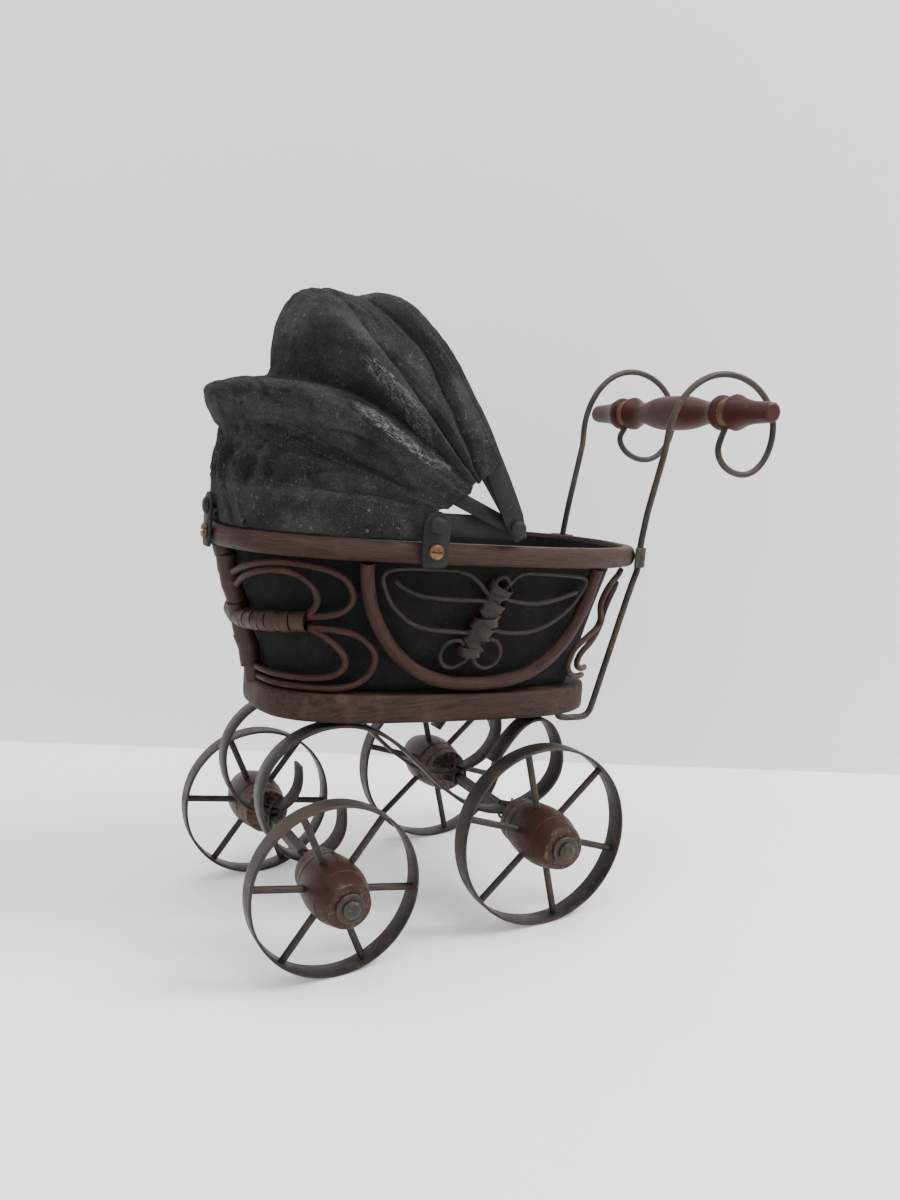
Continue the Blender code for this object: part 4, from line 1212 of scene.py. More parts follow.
class Wall:
    """Finds places on the basket's wall by the distance round it."""

    def __init__(self, plan: Plan) -> None:
        """Measure the wall at its middle height, from the left side's middle to the handle end.

        Args:
            plan: The shared sizes.
        """
        self.plan = plan
        self.rows = [(-math.pi / 2, 0.0)]
        last = plan.wall(-math.pi / 2, plan.rim_top / 2)
        for i in range(1, 361):
            angle = -math.pi / 2 + math.pi * i / 360
            point = plan.wall(angle, plan.rim_top / 2)
            self.rows.append((angle, self.rows[-1][1] + (point - last).length))
            last = point
        self.end = next(length for angle, length in self.rows if angle >= -1e-9)

    def at(self, reach: float, height: float, side: Side, inset: float = 0.0) -> Vector:
        """The wall's point at a distance from the middle of one side, towards the handle end if positive.

        Args:
            reach: Distance round the wall, toward the handle if positive.
            height: Height above the board.
            side: Which side of the pram.
            inset: Distance inward.

        Returns:
            The point.
        """
        sought, angle = abs(reach), self.rows[-1][0]
        for (a0, l0), (a1, l1) in zip(self.rows, self.rows[1:]):
            if l1 >= sought:
                angle = a0 + (a1 - a0) * (sought - l0) / (l1 - l0)
                break
        point = self.plan.wall(angle, height, inset)
        if reach < 0:
            point.x = -point.x
        if side is Side.RIGHT:
            point.y = -point.y
        return point

    def path(self, route: Sequence[tuple[float, float]], side: Side, steps: int = 10,
             inset: float = 0.0) -> Path:
        """A smooth curve on the wall through (distance, height) pairs."""
        flat = smooth([Vector((reach, height, 0)) for reach, height in route], steps)
        return [self.at(point.x, point.y, side, inset) for point in flat]


# ---------------------------------------------------------------- the undercarriage


@dataclass
class Wheel:
    """One iron wheel with its turned hub, on an axle's journal."""

    plan: Plan
    end: End
    side: Side
    radius: float
    phase: float
    tyre_width: float = 10.0
    tyre_thick: float = 1.2
    spoke_radius: float = 1.5
    hub_half: float = 19.0
    bore: float = 2.35
    washer_radius: float = 5.8

    @property
    def prefix(self) -> str:
        """The start of the wheel's node names."""
        return f"{self.end.value}_{self.side.word}"

    @property
    def axis(self) -> Matrix:
        """Where the wheel's middle stands.

        Returns:
            The place.
        """
        x = self.plan.wheel_base / 2 * (1 if self.end is End.REAR else -1)
        return self.plan.chassis @ Matrix.Translation((x * MM, self.side.value * self.plan.track / 2 * MM,
                                                       self.radius * MM))

    def tyre(self) -> bpy.types.Object:
        """The iron strip bent into a ring, its edges worn round.

        Returns:
            The tyre.
        """
        r, h, t = self.radius, self.tyre_width / 2, self.tyre_thick
        profile = [(r - 0.45, -h), (r - 0.1, -h + 0.4), (r, -h + 1.4), (r, h - 1.4), (r - 0.1, h - 0.4),
                   (r - 0.45, h), (r - t + 0.2, h), (r - t, h - 0.3), (r - t, -h + 0.3), (r - t + 0.2, -h)]
        maker = Maker(self.prefix + "_tyre", self.axis)
        maker.lathe(profile, 96, wobble=0.12, closed=True)
        item = maker.piece(IRON)
        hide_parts(self.prefix + "_wheel_iron")
        return item

    def spokes(self) -> bpy.types.Object:
        """Six iron rods from the hub to the tyre.

        Returns:
            The spokes.
        """
        sizes = {"Inner": 8.4 * MM, "Outer": (self.radius - 0.6) * MM, "Radius": self.spoke_radius * MM,
                 "Phase": math.radians(90 - self.phase)}
        return grow(self.prefix + "_spokes", Repeats.spokes(IRON, 6), sizes, IRON, place=self.axis)

    def hub(self) -> bpy.types.Object:
        """The turned hub: a long barrel, fullest past its middle, with scored rings.

        Returns:
            The hub.
        """
        turned = [(self.bore, -19), (9.3, -19), (9.9, -18.5), (10.1, -17), (10.3, -14.6), (9.9, -14.2),
                  (10.4, -13.7),
                  (11.1, -10.5), (11.5, -8.2), (11.05, -7.8), (11.6, -7.3), (12.0, -4.5), (12.35, -0.5),
                  (12.4, 2.2),
                  (12.25, 5), (11.85, 8), (11.35, 10.2), (10.9, 10.5), (11.1, 10.9), (10.5, 13.2), (9.7, 16),
                  (9.1, 17.8), (8.5, 18.8), (7.6, 19), (self.bore, 19)]
        maker = Maker(self.prefix + "_hub_turned", self.axis)
        out = self.side.value
        maker.lathe([(r, y * out) for r, y in turned], 56, wobble=0.16, closed=True)
        maker.mark("worn", lambda p: max(0.0,
                                         min(1.0, (-p.y * out - 6.5) / 3)) * 0.8 + dent(p.y * out - 18.5,
                                                                                        1.6) * 0.5)
        item = maker.piece(HUB, 30)
        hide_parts(self.prefix + "_hub")
        return item

    def washer(self) -> bpy.types.Object:
        """The loose washer outside the hub, riding with the axle.

        Returns:
            The washer.
        """
        near, far = self.hub_half + 0.35, self.hub_half + 1.55
        r = self.washer_radius
        profile = [(self.bore, near), (r - 0.3, near), (r, near + 0.3), (r, far - 0.3), (r - 0.3, far),
                   (self.bore, far)]
        maker = Maker(self.prefix + "_washer_ring", self.axis)
        maker.lathe([(radius, y * self.side.value) for radius, y in profile], 40, wobble=0.1, closed=True)
        item = maker.piece(IRON)
        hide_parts(self.prefix + "_washer")
        return item

    def build(self) -> list[bpy.types.Object]:
        """Make the wheel and let it roll.

        Returns:
            Its pieces.
        """
        turning = [self.tyre(), self.spokes(), self.hub()]
        for item in turning:
            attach(item, f"{self.prefix}_wheel")
        washer = self.washer()
        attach(washer, "pram")
        return [*turning, washer]


@dataclass
class Undercarriage:
    """Axles, scroll springs and their wire lashings."""

    plan: Plan
    front_radius: float = 35.0
    rear_radius: float = 39.0
    bar: float = 4.4
    journal: float = 2.0
    head: float = 3.4
    spring_wide: float = 10.0
    spring_thick: float = 1.5
    spring_y: float = 29.3
    front_loop: float = 21.0
    rear_loop: float = 24.0
    curl: float = 14.0
    lash: float = 0.6

    def wheels(self) -> list[Wheel]:
        """The four wheels.

        Returns:
            The wheels, front pair first.
        """
        return [Wheel(self.plan, end, side, radius, phase)
                for end, radius, phase in ((End.FRONT, self.front_radius, 49),
                                           (End.REAR, self.rear_radius, 39))
                for side in Side]

    def axle(self, end: End, radius: float) -> bpy.types.Object:
        """A square bar with round journals and riveted ends.

        Args:
            end: Which axle.
            radius: The journals' radius.

        Returns:
            The axle.
        """
        x = self.plan.wheel_base / 2 * (1 if end is End.REAR else -1)
        maker = Maker(end.value + "_axle_bar",
                      self.plan.chassis @ Matrix.Translation((x * MM, 0, radius * MM)))
        outer = self.plan.track / 2 + 19
        reach = outer + 1.9
        tip = reach + 1.8
        half = [(self.journal, reach - 24), (self.journal, reach), (self.head, reach),
                (self.head + 0.1, tip - 1.1),
                (self.head * 0.8, tip - 0.4), (self.head * 0.45, tip - 0.05), (0, tip)]
        profile = [(r, -y) for r, y in reversed(half)] + half
        maker.lathe(profile, 28, wobble=0.25)
        square = self.plan.track / 2 - 19.35
        h = self.bar / 2
        maker.sweep([Vector((0, -square, 0)), Vector((0, 0, 0)), Vector((0, square, 0))],
                    strip_section(2 * h, 2 * h, 0.4), side=(0, 0, 1))
        item = maker.piece(IRON)
        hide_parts(end.value + "_axle")
        return item

    def spring_path(self, y: float) -> Path:
        """The double scroll, from the curl inside the front loop to the curl behind the rear one.

        Args:
            y: The plane's Y.

        Returns:
            The strip's middle line.
        """
        plan = self.plan
        front_x, rear_x = -plan.wheel_base / 2, plan.wheel_base / 2
        rest = self.bar / 2 + plan.gap + self.spring_thick / 2
        front_low, rear_low = self.front_radius + rest, self.rear_radius + rest
        under = plan.plank_thick / math.cos(plan.tilt) + self.spring_thick / 2 + 1.0
        front_top_x, rear_top_x = front_x + 0.5 * self.front_loop, rear_x + 0.5 * self.rear_loop
        front_top = plan.plank_z - (front_top_x - plan.body_x) * math.tan(plan.tilt) - under
        rear_top = plan.plank_z - (rear_top_x - plan.body_x) * math.tan(plan.tilt) - under
        front_mid, rear_mid = (front_low + front_top) / 2, (rear_low + rear_top) / 2
        left, right, curl = front_x - self.front_loop, rear_x + self.rear_loop, self.curl
        path = [Vector((front_x + curl, y, front_low + curl + 6)),
                Vector((front_x + curl, y, front_low + curl + 2))]
        path += arc((front_x, front_low + curl), curl, curl, 0, -90, 14, y)
        path += arc((front_x, front_mid), self.front_loop, front_mid - front_low, -90, -180, 16, y)[1:]
        path += arc((front_top_x, front_mid), front_top_x - left, front_top - front_mid, 180, 90, 16, y)[1:]
        start, end = path[-1], Vector((rear_x - 2, y, rear_low))
        pull = Vector((0.46 * (end.x - start.x), 0, 0))
        path += bezier(start, start + pull, end - pull, end, 26)[1:]
        path += arc((rear_x - 2, rear_mid), right - rear_x + 2, rear_mid - rear_low, -90, 0, 16, y)[1:]
        path += arc((rear_top_x, rear_mid), right - rear_top_x, rear_top - rear_mid, 0, 90, 14, y)[1:]
        top = path[-1]
        path += bezier(top, top - Vector((8, 0, 0)), top + Vector((-13, 0, -7)), top + Vector((-22, 0, -17)),
                       14)[1:]
        return softened(even(path, 1.6), 3)

    def spring(self, side: Side) -> bpy.types.Object:
        """One scroll spring of flat strip.

        Args:
            side: Which side of the pram.

        Returns:
            The spring.
        """
        path = self.spring_path(side.value * self.spring_y)
        for i, point in enumerate(path):
            point.y += 0.35 * noise.noise(Vector((i * 0.05, side.value, 0)))
        maker = Maker(side.word + "_scroll_spring", self.plan.chassis)
        maker.sweep(path, strip_section(self.spring_thick, self.spring_wide, 0.35), side=(0, 1, 0))
        item = maker.piece(IRON, 50)
        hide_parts(side.word + "_spring")
        return item

    def lashing(self, end: End, side: Side, radius: float) -> bpy.types.Object:
        """Two turns of wire round the axle and the spring, their ends twisted together.

        Args:
            end: Which axle.
            side: Which side of the pram.
            radius: The axle's half thickness.

        Returns:
            The lashing.
        """
        x = self.plan.wheel_base / 2 * (1 if end is End.REAR else -1)
        y = side.value * self.spring_y
        low, high = radius - self.bar / 2 - 0.8, radius + self.bar / 2 + 2.9
        maker = Maker(f"{end.value}_{side.word}_wire_tie", self.plan.chassis)
        for turn, lean in enumerate((-1, 1)):
            corners = []
            for i in range(40):
                a = 2 * math.pi * i / 40
                across, rise = oval_point(a, 1, 1, 7)
                corners.append(Vector((x + across * 3.2 + turn * 0.5, y + lean * across * 5.9,
                                       (low + high) / 2 + rise * (high - low) / 2)))
            maker.sweep(corners, round_section(self.lash, 8), closed=True)
        for k in range(2):
            strand = []
            for i in range(17):
                a = math.pi * k + i * 0.75
                strand.append(Vector((x - 3.4 - 0.2 * i, y - 6.2 + 0.5 * math.cos(a) + 0.12 * i,
                                      high - 1.2 + 0.5 * math.sin(a) + 0.28 * i)))
            maker.sweep(strand, round_section(self.lash * 0.8, 7), round_ends=0.3)
        item = maker.piece(IRON, 60)
        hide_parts(f"{end.value}_{side.word}_lashing")
        return item

    def build(self) -> list[bpy.types.Object]:
        """Make the undercarriage.

        Returns:
            The pieces.
        """
        made = []
        for end, radius in ((End.FRONT, self.front_radius), (End.REAR, self.rear_radius)):
            made.append(self.axle(end, radius))
            made += [self.lashing(end, side, radius) for side in Side]
        made += [self.spring(side) for side in Side]
        for item in made:
            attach(item, "pram")
        for wheel in self.wheels():
            made += wheel.build()
        return made


# ---------------------------------------------------------------- the basket


@dataclass
class Basket:
    """Board, rim, lining and rattan work."""

    plan: Plan
    wall: Wall
    arch_radius: float = 2.9
    arch_middle: float = 6.0
    arch_half: float = 52.0
    arch_foot: float = 4.2
    scroll_radius: float = 1.4
    wing_radius: float = 0.9
    post_radius: float = 4.2
    tie_radius: float = 4.0
    tie_end: float = -70.0
    liner_thick: float = 1.5
    tack_pitch: float = 17.0

    @property
    def rim_base(self) -> float:
        """The height of the rim's underside."""
        return self.plan.rim_top - self.plan.rim_tall

    def board(self) -> bpy.types.Object:
        """The oval board with its arris worn away.

        Returns:
            The board.
        """
        plan = self.plan
        deep = plan.plank_thick
        rows = [(14, 0), (1.6, 0), (0.6, -0.25), (0.1, -1.1), (0, -2.4), (0.05, -5), (0, -7.6), (0.05, -9.9),
                (0.5, -11.4), (1.4, -12.1), (3, -deep), (16, -deep)]
        maker = Maker("plank", plan.body)
        rings = []
        for inset, z in rows:
            ring = oval(plan.plank_length / 2 - inset, plan.plank_width / 2 - inset, plan.plank_power, z, 160)
            for point in ring:
                wear = 0.35 * noise.noise(point * 0.12) + 0.14 * noise.noise(point * 0.5)
                point.x *= 1 + wear / 80
                point.y *= 1 + wear / 42
            rings.append(maker.row(ring))
        for a, b, (_, z0), (_, z1) in zip(rings, rings[1:], rows, rows[1:]):
            maker.ring_faces(a, b, z0, z1, [2.6 * k for k in range(161)])
        maker.cap(rings[0], False)
        maker.cap(rings[-1], True)
        item = maker.piece(PLANK, 50)
        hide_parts("base_board")
        return item

    def rim(self) -> bpy.types.Object:
        """The rim: a half-round rattan rod, fat and worn, lapped where its ends meet.

        Returns:
            The rim.
        """
        plan = self.plan
        t, h = plan.rim_deep, plan.rim_tall
        section = [(-t / 2, h / 2 - 0.5), (-t / 2 + 0.5, h / 2), (0.1 * t, h / 2)]
        for i in range(9):
            a = math.radians(80 - 20 * i)
            section.append((0.1 * t + 0.4 * t * math.cos(a), h / 2 * math.sin(a)))
        section += [(0.1 * t, -h / 2), (-t / 2 + 0.5, -h / 2), (-t / 2, -h / 2 + 0.5)]
        path = oval(*plan.wall_top, plan.rim_power, plan.rim_top - h / 2, 240)

        def worn(share: float) -> Section:
            """The section at a share of the way round, swollen here and there."""
            grow = 1 + 0.035 * noise.noise(Vector((share * 40, 0,
                                                   3))) + 0.02 * noise.noise(Vector((share * 140, 5, 0)))
            return [(u * grow if u > 0 else u, v * grow) for u, v in section]

        maker = Maker("rim_rattan", plan.body)
        maker.sweep(path, worn, closed=True, side=(0, 0, 1))
        item = maker.piece(RATTAN, 55)
        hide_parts("rim_hoop")
        return item

    def liner(self) -> bpy.types.Object:
        """The black cloth bucket inside the rattan, slack between its tacks.

        Returns:
            The lining.
        """
        plan = self.plan
        inset = self.post_radius + plan.gap + 0.8
        levels = [0.4, 3, 9, 17, 26, 35, 44, 52, 57, 61, 62.5]
        rows = []
        for height in levels:
            row = []
            for i in range(180):
                a = 2 * math.pi * i / 180
                point = plan.wall(a, height, inset)
                slack = 0.55 * noise.noise(Vector((point.x * 0.06, point.y * 0.06, height * 0.03)))
                pull = 0.35 * math.sin(a * 34) * max(0.0, (height - 40) / 22)
                point.xy *= 1 - (slack + pull + 0.5) / 80
                row.append(point)
            rows.append(row)
        inner = []
        for row in rows:
            inner.append([Vector((p.x * (1 - self.liner_thick / 85), p.y * (1 - self.liner_thick / 45),
                                  max(p.z, 1.85))) for p in row])
        maker = Maker("lining", plan.body)
        order = rows + [row for row in reversed(inner)]
        numbers = [maker.row(row) for row in order]
        for i, (a, b) in enumerate(zip(numbers, numbers[1:])):
            maker.ring_faces(a, b, 5.0 * i, 5.0 * i + 5, [2.5 * k for k in range(181)])
        maker.cap(numbers[0], False)
        maker.cap(numbers[-1], True)
        item = maker.piece(LINER, 60)
        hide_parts("basket_liner")
        return item

    def tacks(self) -> bpy.types.Object:
        """The tack heads that hold the lining inside the rim.

        Returns:
            The tacks.
        """
        plan = self.plan
        path = [plan.wall(2 * math.pi * i / 200, plan.rim_top - 3.6, 3.2) for i in range(200)]
        sizes = {"Radius": 1.25 * MM, "Flat": 1.0, "Long": 1.0, "Pitch": self.tack_pitch * MM}
        return grow("lining_tacks", Repeats.heads(IRON), sizes, IRON, path, plan.body, closed=True)

    def arch(self, side: Side) -> bpy.types.Object:
        """The U of thick rattan on one side, fuller towards the handle.

        Args:
            side: Which side of the pram.

        Returns:
            The arch.
        """
        top = self.rim_base - self.plan.gap - 0.4
        points = []
        for i in range(73):
            angle = math.pi * (1 + i / 72)
            power = 2.1 if math.cos(angle) < 0 else 2.6
            reach, drop = oval_point(angle, self.arch_half, top - self.arch_foot, power)
            points.append(self.wall.at(self.arch_middle + reach, top + drop, side))
        path = softened(even(points, 2.0), 4)

        def uneven(share: float) -> Section:
            """The rod's outline, thicker and thinner along its length."""
            return round_section(self.arch_radius * (1 + 0.05 * noise.noise(Vector((share * 14, side.value,
                                                                                    0)))), 20)

        maker = Maker(side.word + "_arch_rattan", self.plan.body)
        maker.sweep(path, uneven)
        item = maker.piece(RATTAN, 55)
        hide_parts("side_arch_" + side.word)
        return item

    def wing(self, side: Side) -> list[bpy.types.Object]:
        """The bent-wire wings inside an arch, and the cane that binds them at the middle.

        Args:
            side: Which side of the pram.

        Returns:
            The rods and their binding.
        """
        lift = self.rim_base - 2.2
        routes = [[(8, 42), (-4, lift - 2), (-18, lift), (-38.5, lift - 1.5), (-37.5, 42), (-31, 34),
                   (-20, 28.5),
                   (4, 26.5)],
                  [(-35, 48), (-30, 44.5), (-20, 41.5), (8.5, 40.5)],
                  [(12, 43), (19, lift - 1.5), (27, lift - 0.5), (52, lift - 2.5), (52.5, 44), (46, 35),
                   (36, 29),
                   (24, 26.5), (7, 28)],
                  [(10.5, 42), (28, 39.5), (40, 41.5), (50, 44.5)]]
        maker = Maker("wing_rods_" + side.word, self.plan.body)
        for route in routes:
            path = softened(even(self.wall.path(route, side), 1.2), 2)
            maker.sweep(path, round_section(self.wing_radius, 12), round_ends=0.3)
        for middle, height, reach in ((-4.5, 17.5, 6.0), (10.6, 17.5, 6.4), (12, 48.0, 3.0)):
            ring = []
            for step in range(40):
                a = 2 * math.pi * step / 40
                ring.append(self.wall.at(middle + reach * math.cos(a), height + reach * math.sin(a), side))
            maker.sweep(ring, round_section(self.wing_radius, 12), closed=True, side=(0, 1, 0))
        core = even(smooth([self.wall.at(11.5, 46, side), self.wall.at(7, 32, side),
                            self.wall.at(1.5, 19, side)], 12), 1)
        maker.sweep(core, round_section(2.8, 14), round_ends=0.4)
        wires = maker.piece(WIRES, 55)
        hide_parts("wing_wires_" + side.word)
        sizes = {"Radius": 4.7 * MM, "Wide": 4.4 * MM, "Thick": 0.45 * MM, "Pitch": 3.4 * MM, "Lean": 0.5,
                 "Spin": 0.0,
                 "Flat": 0.62}
        binding = grow("wing_binding_" + side.word, Repeats.turns(WIRES), sizes, WIRES, core, self.plan.body)
        return [wires, binding]

    def scrolls(self, side: Side) -> list[bpy.types.Object]:
        """The leaf loops at the hood end and the figure three at the handle end.

        Args:
            side: Which side of the pram.

        Returns:
            The scrolls.
        """
        start = self.tie_end + self.tie_radius * 0.5
        last = -(self.wall.end - self.post_radius - self.scroll_radius - 1.2)
        base = self.rim_base
        routes = {
            f"front_scroll_upper_{side.word}": [
                [(start, 31.5), (-56, 33.5), (-50, 40), (-55, 49), (-69, base - 3), (-84, base - 4),
                 (last, 45)],
                [(start, 31.5), (-63.5, 38.5), (-67.5, 46.5), (-77, 49.5), (-90, 46.5), (last, 40)]],
            f"front_scroll_lower_{side.word}": [
                [(start, 27.5), (-51, 26), (-42.5, 21), (-39.5, 15.5), (-42.5, 8), (-52, 3), (-70, 2.2),
                 (last, 2.2)],
                [(start, 27.5), (-58, 21.5), (-52.5, 14), (-56, 8.5), (-66, 6.3), (-84, 6), (last, 6.4)]],
            f"rear_scroll_{side.word}": [
                [(84, base - 2.5), (73, 47.5), (70, 38), (78, 29), (70, 24), (60.5, 18), (60, 10), (68, 5),
                 (84, 3.5)],
                [(86, 47), (79, 41), (77.5, 34), (81, 28), (76, 21), (68, 16), (67, 11), (73, 8), (85, 7)]],
        }
        made = []
        for node, loops in routes.items():
            maker = Maker(node + "_rod", self.plan.body)
            for route in loops:
                path = softened(even(self.wall.path(route, side), 1.3), 3)
                maker.sweep(path, round_section(self.scroll_radius, 14), round_ends=0.4)
            item = maker.piece(RATTAN, 55)
            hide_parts(node)
            made.append(item)
        return made

    def posts(self) -> list[bpy.types.Object]:
        """The cane-wound posts at both ends and the wound tie across the hood end.

        Returns:
            The posts, the tie and their bindings.
        """
        top = self.rim_base - self.plan.gap
        reach = self.wall.end
        left = Side.LEFT
        front = [self.wall.at(-reach, height, left) for height in (top, 44, 32, 20, 10,
                                                                   self.post_radius * 0.6)]
        rear = [self.wall.at(reach, height, left) for height in (top, 40, 26, 12, self.post_radius * 0.5)]
        low, high = self.plan.rim_top * 0.4, self.plan.rim_top * 0.46
        sweep_out = [(self.tie_end - (reach + self.tie_end) * i / 12,
                      high - (high - low) * i / 12) for i in range(13)]
        tie = [self.wall.at(r, z, left) for r, z in sweep_out]
        tie += [self.wall.at(r, z, Side.RIGHT) for r, z in reversed(sweep_out[:-1])]
        made = []
        for name, path, radius, node, wide in (("front_post", even(front, 1), self.post_radius, "front_post",
                                                7.5),
                                               ("front_tie", softened(even(tie, 1), 12), self.tie_radius,
                                                None, 3.6),
                                               ("rear_post", even(rear, 1), self.post_radius * 0.6,
                                                "rear_post", 3)):
            maker = Maker(name + "_core", self.plan.body)
            maker.sweep(path, round_section(radius - 0.7, 18), round_ends=0.6)
            core = maker.piece(CANE, 60)
            if node:
                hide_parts(node)
            sizes = {"Radius": (radius - 0.2) * MM, "Wide": wide * MM, "Thick": 0.5 * MM,
                     "Pitch": 0.86 * wide * MM,
                     "Lean": 0.16}
            made += [core, grow(name + "_binding", Repeats.turns(CANE), sizes, CANE, path, self.plan.body)]
        return made

    def build(self) -> list[bpy.types.Object]:
        """Make the basket.

        Returns:
            The pieces.
        """
        made = [self.board(), self.rim(), self.liner(), self.tacks(), *self.posts()]
        for side in Side:
            made += [self.arch(side), *self.wing(side), *self.scrolls(side)]
        for item in made:
            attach(item, "pram")
        return made


# ---------------------------------------------------------------- the handle


@dataclass
class Handle:
    """Two bent wires, their clamps on the rim, and the turned grip."""

    plan: Plan
    wire: float = 1.5
    x: float = 127.0
    z: float = 128.0
    spacing: float = 79.0
    foot_spacing: float = 64.4
    foot_start: float = 54.0
    foot_bend: float = 72.0
    loop_reach: float = 31.0
    far_reach: float = 29.0
    loop_rise: float = 17.0
    right_shift: float = 3.5
    right_lift: float = 4.5
    right_trim: float = 3.0
    grip_half: float = 68.5
    groove: float = 6.2
    clamp_tall: float = 9.0
    clamp_thick: float = 1.0

    def seat(self, side: Side) -> tuple[Vector, Vector]:
        """Where a wire lies against the rim, and the outward direction there.

        Args:
            side: Which side of the pram.

        Returns:
            The point and the direction.
        """
        plan = self.plan
        a, b, power = plan.rim_half_x, plan.rim_half_y, plan.rim_power
        y = side.value * self.foot_spacing / 2
        x = a * (1 - abs(y / b) ** power) ** (1 / power)
        outward = Vector(((x / a) ** (power - 1) / a, side.value * abs(y / b) ** (power - 1) / b,
                          0)).normalized()
        return Vector((x, y, plan.rim_top - plan.rim_tall / 2)), outward

    def path(self, side: Side) -> Path:
        """From the foot under the board, past the rim, over the loop and back up into the grip's groove.

        Args:
            side: Which side of the pram.

        Returns:
            The wire's middle line.
        """
        plan = self.plan
        seat, outward = self.seat(side)
        seat = seat + outward * (self.wire + plan.gap)
        foot_y, loop_y = side.value * self.foot_spacing / 2, side.value * self.spacing / 2
        foot_z = -plan.plank_thick - self.wire - plan.gap
        path = [Vector((self.foot_start, foot_y, foot_z + 5.6)),
                Vector((self.foot_start, foot_y, foot_z + 2)),
                Vector((self.foot_start + 0.6, foot_y, foot_z + 0.6)),
                Vector((self.foot_start + 2, foot_y, foot_z)),
                Vector((self.foot_bend - 6, foot_y, foot_z))]
        path += arc((self.foot_bend - 4, foot_z + 4), 4, 4, -90, -20, 8, foot_y)
        rise = Vector((0, 0, self.clamp_tall / 2 + 0.6))
        path += smooth([path[-1], seat - Vector((4.2, 0, 18)), seat - rise], 10)[1:]
        path += [seat + rise, seat + Vector((2.0, 0, 20))]
        right = side is Side.RIGHT
        middle_x = self.x - 2 + (self.right_shift if right else 0)
        middle_z = self.z - 7 + (self.right_lift if right else 0)
        reach = self.loop_reach - (self.right_trim if right else 0)
        far_x = middle_x + self.far_reach - (self.right_trim / 2 if right else 0)
        curl_x = (far_x + self.x - 4.5) / 2
        curl = far_x - curl_x
        path.append(Vector((middle_x - reach - 0.3, loop_y * 0.98, middle_z - 15)))
        path += arc((middle_x, middle_z - 9), reach, self.loop_rise + 16, 180, 90, 24, loop_y)
        path += arc((middle_x, middle_z), far_x - middle_x, self.loop_rise + 7, 90, 0, 24, loop_y)[1:]
        path += arc((curl_x, middle_z), curl, 20.6, 0, -90, 18, loop_y)[1:]
        path += arc((curl_x, middle_z - 9), curl, 11.6, -90, -180, 14, loop_y)[1:]
        inside = self.z - self.groove + 2.65
        path += [Vector((self.x - 2.2, loop_y, self.z - self.groove - 3)), Vector((self.x, loop_y, inside))]
        return softened(even(path, 1.2), 6)

    def wire_piece(self, side: Side) -> bpy.types.Object:
        """One bent handle wire.

        Args:
            side: Which side of the pram.

        Returns:
            The wire.
        """
        maker = Maker(f"{side.word}_handle_wire_rod", self.plan.body)
        maker.sweep(self.path(side), round_section(self.wire, 14), side=(0, 1, 0), round_ends=0.4)
        item = maker.piece(IRON, 60)
        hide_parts("handle_wire_" + side.word)
        return item

    def clamp(self, side: Side) -> bpy.types.Object:
        """The strap that holds a wire against the rim.

        Args:
            side: Which side of the pram.

        Returns:
            The strap.
        """
        seat, outward = self.seat(side)
        tangent = Vector((-outward.y, outward.x, 0))
        core = seat + outward * (self.wire + self.plan.gap)
        bend = self.wire + self.plan.gap + self.clamp_thick / 2
        skin = self.clamp_thick / 2 + self.plan.gap
        path = [seat + outward * skin - tangent * (bend + 3.4),
                seat + outward * skin - tangent * (bend + 1.6)]
        for i in range(17):
            angle = math.pi * i / 16
            path.append(core - tangent * (bend * math.cos(angle)) + outward * (bend * math.sin(angle)))
        path += [seat + outward * skin + tangent * (bend + 1.6),
                 seat + outward * skin + tangent * (bend + 3.4)]
        maker = Maker(f"{side.word}_handle_strap", self.plan.body)
        maker.sweep(softened(even(path, 0.5), 2), strip_section(self.clamp_thick, self.clamp_tall, 0.25),
                    side=(0, 0, 1))
        item = maker.piece(IRON, 50)
        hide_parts("handle_clamp_" + side.word)
        return item

    def grip(self) -> list[bpy.types.Object]:
        """The turned grip and the wire rings in its two grooves.

        Returns:
            The grip and its rings.
        """
        g = self.spacing / 2
        end = self.grip_half
        half = [(8.4, 0), (8.35, 4), (8.15, g - 30), (7.5, g - 25), (6.3, g - 20), (5.3, g - 15.5),
                (5.0, g - 13),
                (5.3, g - 11), (6.4, g - 8.5), (7.7, g - 6.2), (8.2, g - 4.8), (7.9, g - 3.4), (6.9, g - 2.2),
                (6.2, g - 1.5), (6.2, g + 1.5), (6.9, g + 2.3), (7.9, g + 3.6), (8.2, g + 5.3),
                (7.6, g + 7.2),
                (6.6, g + 9.6), (6.0, g + 12), (5.2, g + 16), (4.75, end - 5), (4.6, end - 2.2),
                (4.4, end - 0.8),
                (3.4, end - 0.1), (0, end)]
        profile = [(r, -y) for r, y in reversed(half[1:])] + half
        place = self.plan.body @ Matrix.Translation((self.x * MM, 0, self.z * MM))
        maker = Maker("turned_grip", place)
        maker.lathe(profile, 56, wobble=0.14)
        maker.mark("worn", lambda p: 0.35 * dent(abs(p.y) - 8, 18) + 0.5 * dent(abs(p.y) - g + 5, 1.4))
        item = maker.piece(GRIP, 30)
        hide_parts("handle_grip")
        rings = Maker("grip_rings", place)
        for side in Side:
            for k in range(3):
                middle = side.value * g + (k - 1) * 1.05
                ring = [(6.25 + 0.5 * math.cos(a), middle + 0.5 * math.sin(a))
                        for a in (2 * math.pi * i / 8 for i in range(8))]
                rings.lathe(ring, 40, closed=True)
        return [item, rings.piece(BRONZE, 60)]

    def build(self) -> list[bpy.types.Object]:
        """Make the handle.

        Returns:
            The pieces.
        """
        made = [make(side) for side in Side for make in (self.wire_piece, self.clamp)] + self.grip()
        for item in made:
            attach(item, "pram")
        return made


# ---------------------------------------------------------------- the hood


